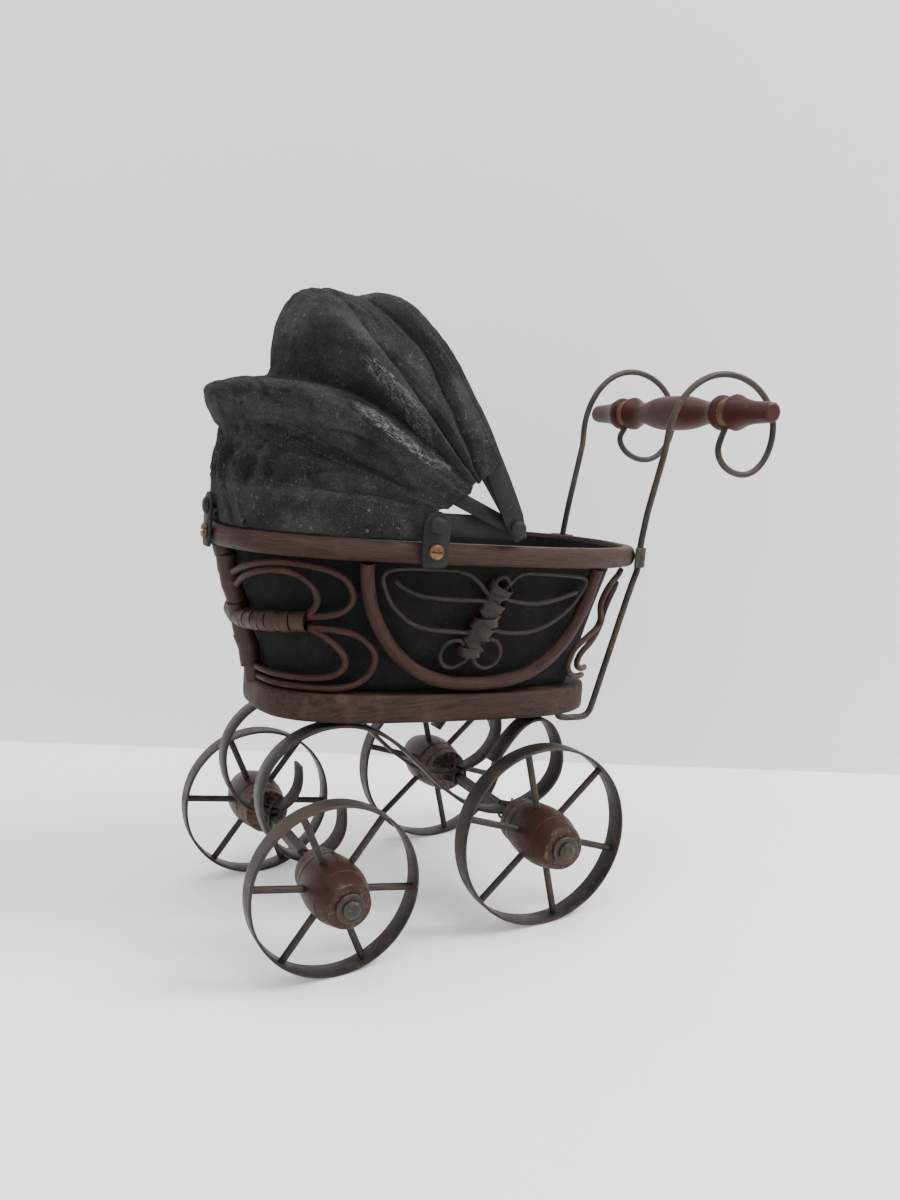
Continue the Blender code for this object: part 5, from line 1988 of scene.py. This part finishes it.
@dataclass
class HoodFrame:
    """The fixed hoop, three bows, their pivots, and the brackets on the rim."""

    plan: Plan
    hoop_tall: float = 9.5
    hoop_inset: float = 1.8
    thick: float = 1.1
    gap: float = 0.55
    leg_spring: float = 0.6
    stub: float = 4.5
    bracket_x: float = -23.3
    bracket_wide: float = 11.0
    bracket_tall: float = 22.0
    bracket_thick: float = 1.2
    head_tall: float = 1.5

    @property
    def hoop(self) -> tuple[float, float]:
        """Half sizes of the hoop's outline."""
        a, b = self.plan.wall_top
        return a - self.hoop_inset, b - self.hoop_inset

    def leg(self, layer: int) -> float:
        """Half the distance between a bow's legs; each bow lies outside the one before."""
        return self.hoop[1] + self.leg_spring + layer * (self.thick + self.gap)

    def hoop_arc(self, offset: float, z: float, start_x: float, count: int) -> Path:
        """The hood end of the hoop's outline, from a station on the left round to the one on the right.

        Args:
            offset: Distance outside the hoop.
            z: Height.
            start_x: The left end's X.
            count: How many points.

        Returns:
            The points.
        """
        a, b = self.hoop[0] + offset, self.hoop[1] + offset
        power = self.plan.rim_power
        start = math.acos(max(-1.0, min(1.0, math.copysign(abs(start_x / a) ** (power / 2), start_x))))
        return oval(a, b, power, z, count, -start, start - 2 * math.pi, closed=False)

    def ring(self) -> bpy.types.Object:
        """The hoop of flat strip that stands above the rim.

        Returns:
            The hoop.
        """
        path = self.hoop_arc(0, self.plan.pivot_z, self.plan.pivot_x + self.hoop_tall / 2, 140)
        maker = Maker("hoop_strip", self.plan.body)
        maker.sweep(path, strip_section(self.thick, self.hoop_tall, 0.25), side=(0, 0, 1))
        item = maker.piece(PAINT, 50)
        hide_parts("hood_hoop")
        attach(item, "pram")
        return item

    def bow(self, word: str, angle: float, reach: float, wide: float, layer: int,
            pinch: float = 0.0) -> bpy.types.Object:
        """A flat strip bent into an arch, its rounded ends pierced by the pivot.

        Args:
            word: The part's name word.
            angle: Angle about the pivots, in degrees.
            reach: How far its crown stands from the pivots.
            wide: The strip's width.
            layer: Its place on the rivet, from inside.
            pinch: How far its shoulders are drawn in.

        Returns:
            The bow.
        """
        lean = math.radians(angle)
        radial = Vector((math.cos(lean), 0, math.sin(lean)))
        normal = Vector((-math.sin(lean), 0, math.cos(lean)))
        half = self.leg(layer)
        path = [radial * -self.stub + Vector((0, -half, 0)), radial * self.stub + Vector((0, -half, 0))]
        for i in range(1, 90):
            t = math.pi * i / 90
            rise = math.sin(t) - pinch * math.sin(2 * t) ** 4
            path.append(radial * (self.stub + (reach - self.stub) * rise) - Vector((0, half * math.cos(t),
                                                                                    0)))
        path += [radial * self.stub + Vector((0, half, 0)), radial * -self.stub + Vector((0, half, 0))]

        def taper(share: float) -> Section:
            """The strip's outline, rounded at its two ends."""
            edge = min(share, 1 - share) * 90
            return strip_section(self.thick, wide * min(1.0, 0.62 + 0.38 * math.sqrt(min(1.0, edge))), 0.25)

        maker = Maker(f"{word}_bow_strip", self.plan.pivot)
        maker.sweep(path, taper, side=normal)
        item = maker.piece(PAINT, 50)
        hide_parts("hood_bow_" + word)
        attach(item, "hood_" + word)
        return item

    def pivot(self, side: Side) -> bpy.types.Object:
        """The rivet that all the bows turn on.

        Args:
            side: Which side of the pram.

        Returns:
            The rivet.
        """
        outside = self.leg(3) + self.thick / 2 + self.gap
        inside = self.hoop[1] - self.thick / 2 - self.gap
        profile = [(0, inside - 1.8), (2.0, inside - 1.7), (2.5, inside - 1.2), (2.5, inside), (1.5, inside),
                   (1.5, outside), (3.5, outside), (3.6, outside + 0.3), (3.1, outside + 1.1),
                   (2.0, outside + 1.65),
                   (0.8, outside + 1.8), (0, outside + 1.8)]
        maker = Maker(side.word + "_pivot_rivet", self.plan.pivot)
        maker.lathe([(r, side.value * y) for r, y in profile], 32, wobble=0.15)
        item = maker.piece(PAINT, 50)
        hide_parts("hood_pivot_" + side.word)
        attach(item, "pram")
        return item

    def head(self, name: str, node: str, finish: Finish, place: Vector, outward: Vector,
             radius: float, slotted: bool) -> bpy.types.Object:
        """A domed rivet or slotted screw head standing on a face.

        Args:
            name: What the piece is called.
            node: The frame's node it stands for.
            finish: The finish it takes.
            place: The face's point.
            outward: The direction it faces.
            radius: Its radius.
            slotted: Whether it has a screw's slot.

        Returns:
            The head.
        """
        turn = Vector((0, 1, 0)).rotation_difference(outward).to_matrix().to_4x4()
        frame_at = self.plan.body @ Matrix.Translation(place * MM) @ turn
        base, tall = self.plan.gap, self.head_tall
        maker = Maker(name, frame_at)
        shank = -4.0
        if not slotted:
            profile = [(0, shank), (1.2, shank), (1.2, base), (radius, base),
                       (radius * 0.97, base + 0.3 * tall),
                       (radius * 0.8, base + 0.68 * tall), (radius * 0.5, base + 0.93 * tall),
                       (0, base + tall)]
            maker.lathe(profile, 36, wobble=0.12)
        else:
            maker.lathe([(0, shank), (1.2, shank), (1.2, base), (0, base)], 24)
            for flip in (0.0, math.pi):
                rim = []
                for i in range(25):
                    a = flip + math.radians(8) + (math.pi - math.radians(16)) * i / 24
                    rim.append((math.cos(a), math.sin(a)))
                rows = []
                for share, height in ((1.0, base), (1.0, base + 0.45 * tall), (0.93, base + 0.75 * tall),
                                      (0.75, base + 0.95 * tall)):
                    rows.append(maker.row(Vector((c * radius * share, height, s * radius * share)) for c,
                                          s in rim))
                for a, b in zip(rows, rows[1:]):
                    maker.ring_faces(a, b, 0, 1, [0.2 * k for k in range(26)], closed=True)
                maker.cap(rows[0], False)
                maker.cap(rows[-1], True)
            maker.lathe([(0, base), (radius * 0.96, base), (radius * 0.96, base + 0.3 * tall),
                         (0, base + 0.3 * tall)], 30)
        item = maker.piece(finish, 35)
        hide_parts(node)
        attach(item, "pram")
        return item

    def bracket(self, word: str, place: Vector, outward: Vector) -> list[bpy.types.Object]:
        """A short strap from the rim up to the hoop, with a rivet above and a screw below.

        Args:
            word: The part's name word.
            place: Its foot on the rim.
            outward: The direction it faces.

        Returns:
            The strap and its two heads.
        """
        tangent = outward.cross(Vector((0, 0, 1)))
        plan = self.plan
        middle = place + outward * (self.bracket_thick / 2 + plan.gap)
        top = plan.pivot_z + self.bracket_wide / 2
        path = []
        for i in range(23):
            path.append(Vector((middle.x, middle.y, top - self.bracket_tall * i / 22)))

        def rounded(share: float) -> Section:
            """The strap's outline, rounded at its top and clipped at its foot.

            Args:
                share: How far along, from 0 to 1.

            Returns:
                The outline.
            """
            down = share * self.bracket_tall
            half = self.bracket_wide / 2
            wide = math.sqrt(max(0.04, 1 - max(0.0, 1 - down / half) ** 2))
            foot = 1 - 0.25 * max(0.0, 1 - (self.bracket_tall - down) / 1.5)
            return strip_section(self.bracket_thick, self.bracket_wide * wide * foot, 0.25)

        maker = Maker(word + "_bracket_strap", plan.body)
        maker.sweep(path, rounded, side=tangent)
        strap = maker.piece(PAINT, 50)
        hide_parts("hood_bracket_" + word)
        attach(strap, "pram")
        face = self.bracket_thick + plan.gap
        high = Vector((place.x, place.y, plan.pivot_z)) + outward * face
        low = Vector((place.x, place.y, plan.rim_top - plan.rim_tall / 2 + 1.0)) + outward * face
        rivet = self.head(word + "_rivet_head", "bracket_rivet_" + word, PAINT, high, outward, 3.5, False)
        screw = self.head(word + "_screw_head", "bracket_screw_" + word, BRONZE, low, outward, 3.1, True)
        return [strap, rivet, screw]

    def build(self) -> list[bpy.types.Object]:
        """Make the hood's metalwork.

        Returns:
            The pieces.
        """
        plan = self.plan
        made = [self.ring(), self.bow("back", 157, 115.5, 6, 1, 0.052), self.bow("middle", 125, 102, 5, 2),
                self.bow("front", 116, 99.5, 9, 3)]
        made += [self.pivot(side) for side in Side]
        a, b, power = plan.rim_half_x, plan.rim_half_y, plan.rim_power
        y = b * (1 - abs(self.bracket_x / a) ** power) ** (1 / power)
        for side in Side:
            outward = Vector((-abs(self.bracket_x / a) ** (power - 1) / a,
                              side.value * (y / b) ** (power - 1) / b, 0))
            made += self.bracket(side.word, Vector((self.bracket_x, side.value * y, plan.rim_top)),
                                 outward.normalized())
        made += self.bracket("front", Vector((-a, 0, plan.rim_top)), Vector((-1, 0, 0)))
        return made


@dataclass(frozen=True)
class Rib:
    """One line of the cloth, from leg to leg: its angles and heights at seven stations, and where it starts."""

    name: str
    angles: tuple[float, ...]
    lifts: tuple[float, ...]
    start: float


@dataclass
class HoodCloth:
    """The old wool cloth: one curved sheet over the bows, slack between them, nailed along the rim."""

    plan: Plan
    metal: HoodFrame
    columns: int = 240
    steps: int = 9
    thick: float = 1.2
    lap: int = 7
    under: float = 1.5
    stations: tuple[float, ...] = (12, 20, 30, 45, 60, 75, 90)
    foot: float = 4.5
    ribs: tuple[Rib, ...] = (
        Rib("tuck", (108.2, 110, 111.4, 112.6, 113.8, 114.4, 114.4),
            (-2.6, -2.6, -2.8, -3.2, -4.2, -5, -5.4), 14.2),
        Rib("front", (107, 109, 110.5, 111.5, 112.5, 113, 113), (-0.9, -0.9, -1, -1.2, -1.9, -2.7, -3.1), 14),
        Rib("hem", (109.2, 111, 112.6, 113.6, 114.6, 115.2, 115.3), (0.9, 0.9, 1, 0.9, 0.4, 0, -0.5), 13.6),
        Rib("casing", (117, 117, 117, 116.6, 117.3, 118, 118), (1.3, 1.3, 1.4, 1.3, 1.3, 1.2, 1.3), 13),
        Rib("groove", (133, 127.5, 123.5, 119.8, 120.5, 121.5, 121.5), (-0.6, -0.8, -1, -0.6, 0.2, 2.2, 3.4),
            12),
        Rib("tube", (135, 131, 128, 125.6, 125.2, 125, 124.7), (1, 1.2, 1.4, 1.8, 3, 6, 8.2), 12.2),
        Rib("seam", (137, 135, 132.5, 130.3, 129.3, 128, 127.8), (0, 0.2, 0.4, 1.2, 4.4, 10, 13.2), 12.6),
        Rib("upper", (138.5, 137, 136, 135, 134, 133.5, 133.5), (0.6, 2, 4.6, 7.6, 11, 14, 15.6), 13),
        Rib("slope", (139.6, 138.4, 137.7, 137.8, 140, 141.3, 141.6), (0.2, 0.1, 0.2, 0.6, 4, 6.2, 7), 13),
        Rib("valley", (141, 140.5, 139.5, 140.3, 144, 147.5, 148.3),
            (-0.5, -1.4, -3.6, -5.4, -4.6, -2.4, -1.2), 12.6),
        Rib("rise", (145, 144.5, 143.5, 144.4, 148, 151.5, 152.6), (0.6, 0.6, 1, 1.2, 3, 6, 7.8), 12.2),
        Rib("lower", (150, 149, 148.5, 149, 152, 155.2, 157.2), (1, 2.2, 4.2, 6.6, 9.8, 13.6, 15), 12),
        Rib("over", (157.5, 157, 155, 155, 155.4, 158, 160.2), (0.6, 1, 1.6, 3.2, 6.2, 11, 12.8), 13.4),
        Rib("diagonal", (166.5, 166, 162.5, 161, 159.5, 162, 164.2), (0, -0.2, -0.6, -1.1, 0.6, 3.6, 4.6),
            13.8),
        Rib("gather", (168.4, 168, 167, 167, 167, 168, 168.8), (0.8, 1, 1.2, 1.5, 1.2, 0.8, 0.4), 15),
        Rib("skirt", (169.8, 169.5, 170.5, 173, 174, 174.5, 174.5),
            (-0.4, -0.4, -0.5, -0.6, -0.6, -0.2, 0.3), 15.8),
    )
    cuts: tuple[tuple[str, str, str], ...] = (("front", "tuck", "seam"), ("middle", "seam", "valley"),
                                             ("back", "valley", "skirt"))

    def along(self, values: Sequence[float], t: float) -> float:
        """A rib's value at t degrees, curved smoothly between its stations.

        Args:
            values: One value for each station.
            t: Degrees along the rib, from the left leg.

        Returns:
            The value.
        """
        marks = self.stations
        if t <= marks[0]:
            return values[0]
        for i, (low, high) in enumerate(zip(marks, marks[1:])):
            if t <= high:
                share = (t - low) / (high - low)
                before = values[i - 1] if i else values[i]
                after = values[i + 2] if i + 2 < len(values) else values[i]
                return 0.5 * (2 * values[i] + (values[i + 1] - before) * share
                              + (2 * before - 5 * values[i] + 4 * values[i + 1] - after) * share ** 2
                              + (3 * values[i] - before - 3 * values[i + 1] + after) * share ** 3)
        return values[-1]

    def surface(self, angle: float, t: float, lift: float) -> Vector:
        """The point at an angle about the pivots, t degrees along a rib, raised along its normal.

        Args:
            angle: Angle about the pivots, in degrees.
            t: Degrees along the rib, from the left leg.
            lift: Height above the base surface.

        Returns:
            The point.
        """
        reach = read(((127, 102), (148, 105), (160, 108), (170, 110.7)), angle) - self.foot
        half = read(((127, 57.4), (148, 56.2), (170, 55)), angle)
        lean, turn = math.radians(angle), math.radians(t)
        normal = Vector((half * math.sin(turn), -reach * math.cos(turn), 0)).normalized()
        out = self.foot + reach * math.sin(turn) + lift * normal.x
        return Vector((out * math.cos(lean), -half * math.cos(turn) + lift * normal.y, out * math.sin(lean)))

    def clear(self, point: Vector) -> Vector:
        """The point pushed outward, low down, so that the cloth lies outside the hoop.

        Args:
            point: The point.

        Returns:
            The moved point.
        """
        a, b = (size + 2.3 for size in self.metal.hoop)
        x = point.x + self.plan.pivot_x
        power = self.plan.rim_power
        if x > 0 or point.z > 16:
            return point
        reach = (abs(x / a) ** power + abs(point.y / b) ** power) ** (1 / power)
        share = 1 - max(0.0, min(1.0, (point.z - 5.5) / 9))
        grow = 1 + share * max(0.0, 1 / max(reach, 0.5) - 1)
        return Vector((x * grow - self.plan.pivot_x, point.y * grow, point.z))

    def crumple(self, angle: float, t: float, row: float) -> float:
        """Small lumps, drawn gathers and the grooves pressed by the stitching.

        Args:
            angle: Angle about the pivots, in degrees.
            t: Degrees along the rib, from the left leg.
            row: Place among the ribs.

        Returns:
            The height to add.
        """
        where = Vector((angle * 0.16, t * 0.075, 1.7))
        lump = 0.75 * noise.noise(where) + 0.35 * noise.noise(where * 2.6) + 0.16 * noise.noise(where * 6.5)
        names = [rib.name for rib in self.ribs]
        at = {name: names.index(name) for name in ("groove", "seam", "lower", "diagonal", "skirt", "hem")}
        press = -1.1 * dent(row - at["groove"], 0.17) - 0.9 * dent(row - at["seam"], 0.16)
        press -= 0.9 * dent(row - at["diagonal"], 0.15) + 0.8 * dent(row - at["skirt"], 0.2)
        press -= 0.35 * dent(row - at["hem"] - 0.35, 0.1)
        crease = 0.0
        for size, deep in ((1.0, 1.5), (2.1, 0.8)):
            spot = Vector((angle * 0.26 * size, t * 0.05 * size + 0.05 * angle, 8.4 * size))
            crease -= deep * dent(noise.noise(spot),
                                  0.09) * (0.3 + 0.7 * dent(row - at["lower"] - 1.6, 2.8)) \
                * (0.25 + 0.75 * max(0.0, min(1.0, (min(t, 180 - t) - 20) / 25)))
        lump += crease + 0.25
        phase = t * 0.62 + 5 * noise.noise(Vector((t * 0.05, 3.1, 0)))
        low = dent(row - at["skirt"] + 0.8, 0.9)
        drawn = 1.15 * low * math.sin(phase) + 0.4 * dent(row - at["seam"] - 0.8,
                                                          0.7) * math.sin(phase * 1.35)
        return lump + press + drawn

    def rows(self) -> tuple[list[Path], list[tuple[float, list[tuple[float, float]]]]]:
        """Every row of the sheet from the tucked front edge to the skirt's seam.

        Returns:
            The rows of points, and for each its place among the ribs with its (angle, t) pairs.
        """
        n = self.columns
        knots = []
        for rib in self.ribs:
            column = []
            for j in range(n + 1):
                t = rib.start + (180 - 2 * rib.start) * j / n
                folded = min(t, 180 - t)
                column.append((self.along(rib.angles, folded), self.along(rib.lifts, folded), t))
            knots.append(column)
        rows, marks = [], []
        last = len(knots) - 1
        for i in range(last):
            ring = [knots[max(0, i - 1)], knots[i], knots[i + 1], knots[min(last, i + 2)]]
            for k in range(self.steps + (1 if i == last - 1 else 0)):
                s = k / self.steps
                points, places = [], []
                for j in range(n + 1):
                    a, b, c, d = (column[j] for column in ring)
                    value = [0.5 * (2 * b[m] + (c[m] - a[m]) * s + (2 * a[m] - 5 * b[m] + 4 * c[m] - d[m]) * s * s
                                    + (3 * b[m] - a[m] - 3 * c[m] + d[m]) * s ** 3) for m in range(3)]
                    angle, lift, t = value
                    points.append(self.clear(self.surface(angle, t, lift + self.crumple(angle, t, i + s))))
                    places.append((angle, t))
                rows.append(points)
                marks.append((i + s, places))
        return rows, marks

    def skirt(self, top: Path) -> list[Path]:
        """The rows from the skirt's seam down to where the cloth is nailed at the rim.

        Args:
            top: The row at the seam.

        Returns:
            The rows, downward.
        """
        plan = self.plan
        a, b = (size + 1.75 for size in self.metal.hoop)
        power = plan.rim_power
        start, crown = -top[0].x, -top[len(top) // 2].x
        begin = start - plan.pivot_x - 1.0
        edge = []
        for j, point in enumerate(top):
            share = (-point.x - start) / (crown - start)
            x = begin + (a - begin) * max(0.0, share)
            y = b * max(0.0, 1 - (min(x, a) / a) ** power) ** (1 / power)
            side = -1 if j <= len(top) // 2 else 1
            edge.append(Vector((-x - plan.pivot_x, side * y, plan.rim_top + 0.7 - plan.pivot_z)))
        edge = softened(edge, 6)
        rows = []
        for k in range(1, 13):
            s = k / 12
            row = []
            for j, (high, low) in enumerate(zip(top, edge)):
                point = high.lerp(low, s)
                flat = Vector((point.x + 20, point.y * 2.6, 0)).normalized()
                swell = 0.9 * math.sin(math.pi * s) * (0.6 + noise.noise(Vector((j * 0.09, s, 7))))
                gather = 0.85 * s * math.sin(j * 0.55 + 3 * noise.noise(Vector((j * 0.04, 0, 2))))
                ragged = 0.5 * noise.noise(Vector((j * 0.12, 9, 0))) * s
                row.append(self.clear(point + flat * (swell + gather) + Vector((0, 0, ragged))))
            rows.append(row)
        return rows

    def worn(self, angle: float, t: float) -> float:
        """How far the cloth's face is rubbed away, where the finish also paints a pale sheen: along the upper
        fold's lower end and on the lower fold.

        Args:
            angle: Angle about the pivots, in degrees.
            t: Degrees along the rib, from the left leg.

        Returns:
            A share from 0 to 1.
        """
        folded = min(t, 180 - t) if t <= 90 else 0.0
        if not folded:
            return 0.0
        first = read(((22, 143.5), (32, 138), (38, 135.8), (49, 136)), folded)
        second = read(((24, 148), (32, 147.2), (40, 146.6), (48, 146.8)), folded)
        upper = 1.15 * dent(angle - first, 1.9) * dent(folded - 35, 16) * (1 if folded > 19 else 0.4)
        lower = 1.1 * dent(angle - second, 2.2) * dent(folded - 34, 11)
        rough = 0.6 + 0.9 * noise.noise(Vector((angle * 0.9, folded * 0.5, 2)))
        return max(0.0, min(1.0, (upper + lower) * (0.55 + rough)))

    def measure(self, rows: list[Path]) -> tuple[tuple[float, float], float]:
        """The flat cut of a span of rows: its length and width, and its area, in metres.

        Args:
            rows: Rows of points.

        Returns:
            Length and width, and area.
        """
        across = max(sum((b - a).length for a, b in zip(row, row[1:])) for row in rows)
        down = 0.0
        for j in range(0, len(rows[0]), 8):
            down = max(down, sum((b[j] - a[j]).length for a, b in zip(rows, rows[1:])))
        area = 0.0
        for a, b in zip(rows, rows[1:]):
            for p, q, r, s in zip(a, a[1:], b, b[1:]):
                area += 0.5 * ((q - p).cross(r - p).length + (s - q).cross(r - q).length)
        return (across * MM, down * MM), area * MM * MM

    def span(self, word: str, rows: list[Path], places: list[list[tuple[float, float]]]) -> bpy.types.Object:
        """One span of the cloth as a piece with thickness.

        Args:
            word: The part's name word.
            rows: Its rows of points.
            places: Each row's (angle, t) pairs.

        Returns:
            The sheet.
        """
        maker = Maker(f"{word}_cloth", self.plan.pivot)
        maker.grid(rows)
        flat = [self.worn(angle, t) for row in places for angle, t in row]
        maker.paint["worn"] = flat
        crest = [max(-1.0, min(1.0, 2 * noise.noise(Vector((angle * 0.12, t * 0.05, 4))))) for row in places
                 for angle, t in row]
        maker.paint["crest"] = crest
        item = maker.piece(CLOTH, 180)
        middle = self.plan.pivot @ Vector((-0.045, 0, 0.035))
        facing = sum((face.center - middle).dot(face.normal) for face in item.data.polygons)
        if facing < 0:
            item.data.flip_normals()
        step = item.modifiers.new("thickness", "SOLIDIFY")
        step.thickness = self.thick * MM
        step.offset = -1.0
        apply_modifiers(item)
        return item

    def crown(self, angle: float, reach: float) -> Vector:
        """A point in the hood's middle plane, in the row frame, in metres."""
        lean = math.radians(angle)
        return self.plan.pivot @ Vector((reach * math.cos(lean) * MM, 0, reach * math.sin(lean) * MM))

    def follow(self, word: str, item: bpy.types.Object) -> None:
        """Bake a span's place into its mesh; the crown points between the bows it hangs on are worked out but not
        used.

        Args:
            word: Which span.
            item: The sheet or its stitches.
        """
        ways = {"back": ("pram", "hood_back", 172, 157, 95),
                "middle": ("hood_back", "hood_middle", 147.5, 128.5, 80),
                "front": ("hood_middle", "hood_front", 126, 114, 85)}
        first, second, start, end, reach = ways[word]
        self.crown(start, reach)
        self.crown(end, reach)
        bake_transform(item)

    def stitches(self, rows: list[Path], marks: list[tuple[float, list[tuple[float, float]]]]) -> list[
            tuple[str, bpy.types.Object]]:
        """The running stitches beside the seams, each with the span it lies on.

        Args:
            rows: Rows of points.
            marks: Each row's place among the ribs, with its (angle, t) pairs.

        Returns:
            Pairs of a span's word and its stitches.
        """
        names = [rib.name for rib in self.ribs]
        lines = (("hem_stitches", names.index("hem") + 0.45, "front"),
                 ("tube_stitches", names.index("groove") + 0.35,
                                                                         "front"),
                 ("upper_stitches", names.index("seam") + 0.3, "middle"),
                 ("diagonal_stitches", names.index("diagonal") + 0.3, "back"))
        made = []
        for name, place, span in lines:
            k = min(range(len(marks)), key=lambda i: abs(marks[i][0] - place))
            path = even([p + (p - Vector((p.x * 0.4, 0, 0))).normalized() * 0.12 for p in rows[k][6:-6]], 1.5)
            sizes = {"Radius": 0.32 * MM, "Flat": 0.6, "Long": 1.7, "Pitch": 2.4 * MM}
            item = grow(name, Repeats.heads(THREAD), sizes, THREAD, path, self.plan.pivot)
            made.append((span, item))
        return made

    def tacks(self, edge: Path) -> bpy.types.Object:
        """The small nails that hold the skirt along the rim.

        Args:
            edge: The nailed edge.

        Returns:
            The tacks.
        """
        path = even(edge[4:-4], 1.5)
        sizes = {"Radius": 0.85 * MM, "Flat": 1.0, "Long": 1.0, "Pitch": 23 * MM}
        item = grow("skirt_tacks", Repeats.heads(IRON), sizes, IRON, path, self.plan.pivot)
        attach(item, "pram")
        return item

    def build(self) -> list[bpy.types.Object]:
        """Make the cloth, its stitches and its tacks.

        Returns:
            The pieces.
        """
        rows, marks = self.rows()
        stitches = self.stitches(rows, marks)
        names = [rib.name for rib in self.ribs]
        made = []
        for word, first, last in self.cuts:
            low, high = names.index(first) * self.steps, names.index(last) * self.steps
            part = rows[low:high + 1]
            places = [marks[i][1] for i in range(low, high + 1)]
            if word == "back":
                tail = self.skirt(rows[-1])
                part = part + tail
                places = places + [places[-1]] * len(tail)
                made.append(self.tacks([p + Vector((p.x * 0.004, p.y * 0.008, 2.6)) for p in tail[-1]]))
            else:
                tucked = range(high + 1, high + 1 + self.lap)
                part = part + [[p - p.normalized() * self.under for p in rows[i]] for i in tucked]
                places = places + [marks[i][1] for i in tucked]
            item = self.span(word, part, places)
            nodes = ["hood_cover_" + word] + (["hood_skirt"] if word == "back" else [])
            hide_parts(*nodes)
            flat, area = self.measure(part)
            with_it = [stitch for span, stitch in stitches if span == word]
            self.follow(word, item)
            for stitch in with_it:
                self.follow(word, stitch)
            min(area, flat[0] * flat[1])
            LOG.info("%s cloth: flat %.0f x %.0f mm, area %.0f cm2", word, flat[0] / MM, flat[1] / MM,
                     area * 1e4)
            made += [item, *with_it]
        return made


# ---------------------------------------------------------------- the studio


@dataclass
class Studio:
    """A pale table, a pale wall and soft light."""

    eye: tuple[float, float, float] = (-0.22441, -0.4312, 0.2182)
    heading: float = 25.40
    pitch: float = 10.05
    roll: float = -1.196
    lens: float = 32.11
    wall_near: tuple[float, float] = (-0.2016, 0.3452)
    wall_far: tuple[float, float] = (0.2741, 0.0022)

    def camera(self) -> None:
        """The camera at the front quarter, a little above the hood's middle."""
        turn, dip, tip = (math.radians(v) for v in (self.heading, self.pitch, self.roll))
        forward = Vector((math.sin(turn) * math.cos(dip), math.cos(turn) * math.cos(dip), -math.sin(dip)))
        right = Vector((math.cos(turn), -math.sin(turn), 0))
        up = Vector((math.sin(turn) * math.sin(dip), math.cos(turn) * math.sin(dip), math.cos(dip)))
        x = right * math.cos(tip) + up * math.sin(tip)
        y = up * math.cos(tip) - right * math.sin(tip)
        pose = Matrix((x, y, -forward)).transposed().to_4x4()
        data = bpy.data.cameras.new("camera")
        data.lens = self.lens
        data.clip_start = 0.01
        data.dof.use_dof = False
        item = bpy.data.objects.new("camera", data)
        item.matrix_world = Matrix.Translation(self.eye) @ pose
        bpy.context.scene.collection.objects.link(item)
        bpy.context.scene.camera = item

    def slab(self, name: str, corners: Sequence[tuple[float, float, float]],
             finish: Finish) -> bpy.types.Object:
        """A flat sheet of paper through four corners.

        Args:
            name: What the piece is called.
            corners: Its four corners, in metres.
            finish: The finish it takes.

        Returns:
            The slab.
        """
        mesh = bpy.data.meshes.new(name)
        mesh.from_pydata(corners, [], [(0, 1, 2, 3)])
        mesh.materials.append(finish.material())
        item = bpy.data.objects.new(name, mesh)
        bpy.context.scene.collection.objects.link(item)
        return item

    def light(self, name: str, place: tuple[float, float, float], size: float, power: float,
              aim: tuple[float, float, float] = (0, 0, 0.12)) -> None:
        """One square soft light aimed at the pram.

        Args:
            name: Its name.
            place: Where it stands.
            size: Edge length, in metres.
            power: Watts.
            aim: The point it faces.
        """
        data = bpy.data.lights.new(name, "AREA")
        data.size = size
        data.energy = power
        item = bpy.data.objects.new(name, data)
        toward = Vector(aim) - Vector(place)
        item.matrix_world = Matrix.Translation(place) @ toward.to_track_quat("-Z", "Y").to_matrix().to_4x4()
        bpy.context.scene.collection.objects.link(item)

    def build(self) -> None:
        """Set the stage, the lights and the camera."""
        floor = self.slab("floor", [(-3, -3, 0), (3, -3, 0), (3, 3, 0), (-3, 3, 0)], FLOOR)
        near, far = Vector(self.wall_near), Vector(self.wall_far)
        along = (far - near).normalized() * 3
        a, b = near - along, far + along
        wall = self.slab("backdrop", [(a.x, a.y, 0), (b.x, b.y, 0), (b.x, b.y, 3), (a.x, a.y, 3)], WALL)
        self.light("key", (0.8, -0.62, 1.2), 0.6, 31)
        self.light("fill", (-1.3, -0.7, 0.8), 1.2, 7)
        self.light("top", (-0.1, 0.05, 1.5), 0.9, 18)
        world = bpy.data.worlds.new("soft_room")
        bpy.context.scene.world = world
        world.use_nodes = True
        sky = world.node_tree.nodes["Background"]
        sky.inputs["Color"].default_value = (0.95, 0.97, 1.0, 1.0)
        sky.inputs["Strength"].default_value = 0.75
        self.camera()


def main() -> None:
    """Dress the frame and set the studio."""
    logging.basicConfig(level=logging.INFO, format="%(name)s: %(message)s")
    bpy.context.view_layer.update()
    plan = Plan()
    metal = HoodFrame(plan)
    groups = {
        "undercarriage": Undercarriage(plan).build(),
        "basket": Basket(plan, Wall(plan)).build(),
        "handle": Handle(plan).build(),
        "hood metal": metal.build(),
        "hood cloth": HoodCloth(plan, metal).build(),
    }
    for group, items in groups.items():
        for item in items:
            LOG.info("%s: %s, %d faces", group, item.name, len(item.data.polygons))
    Studio().build()


if __name__ == "__main__":
    main()
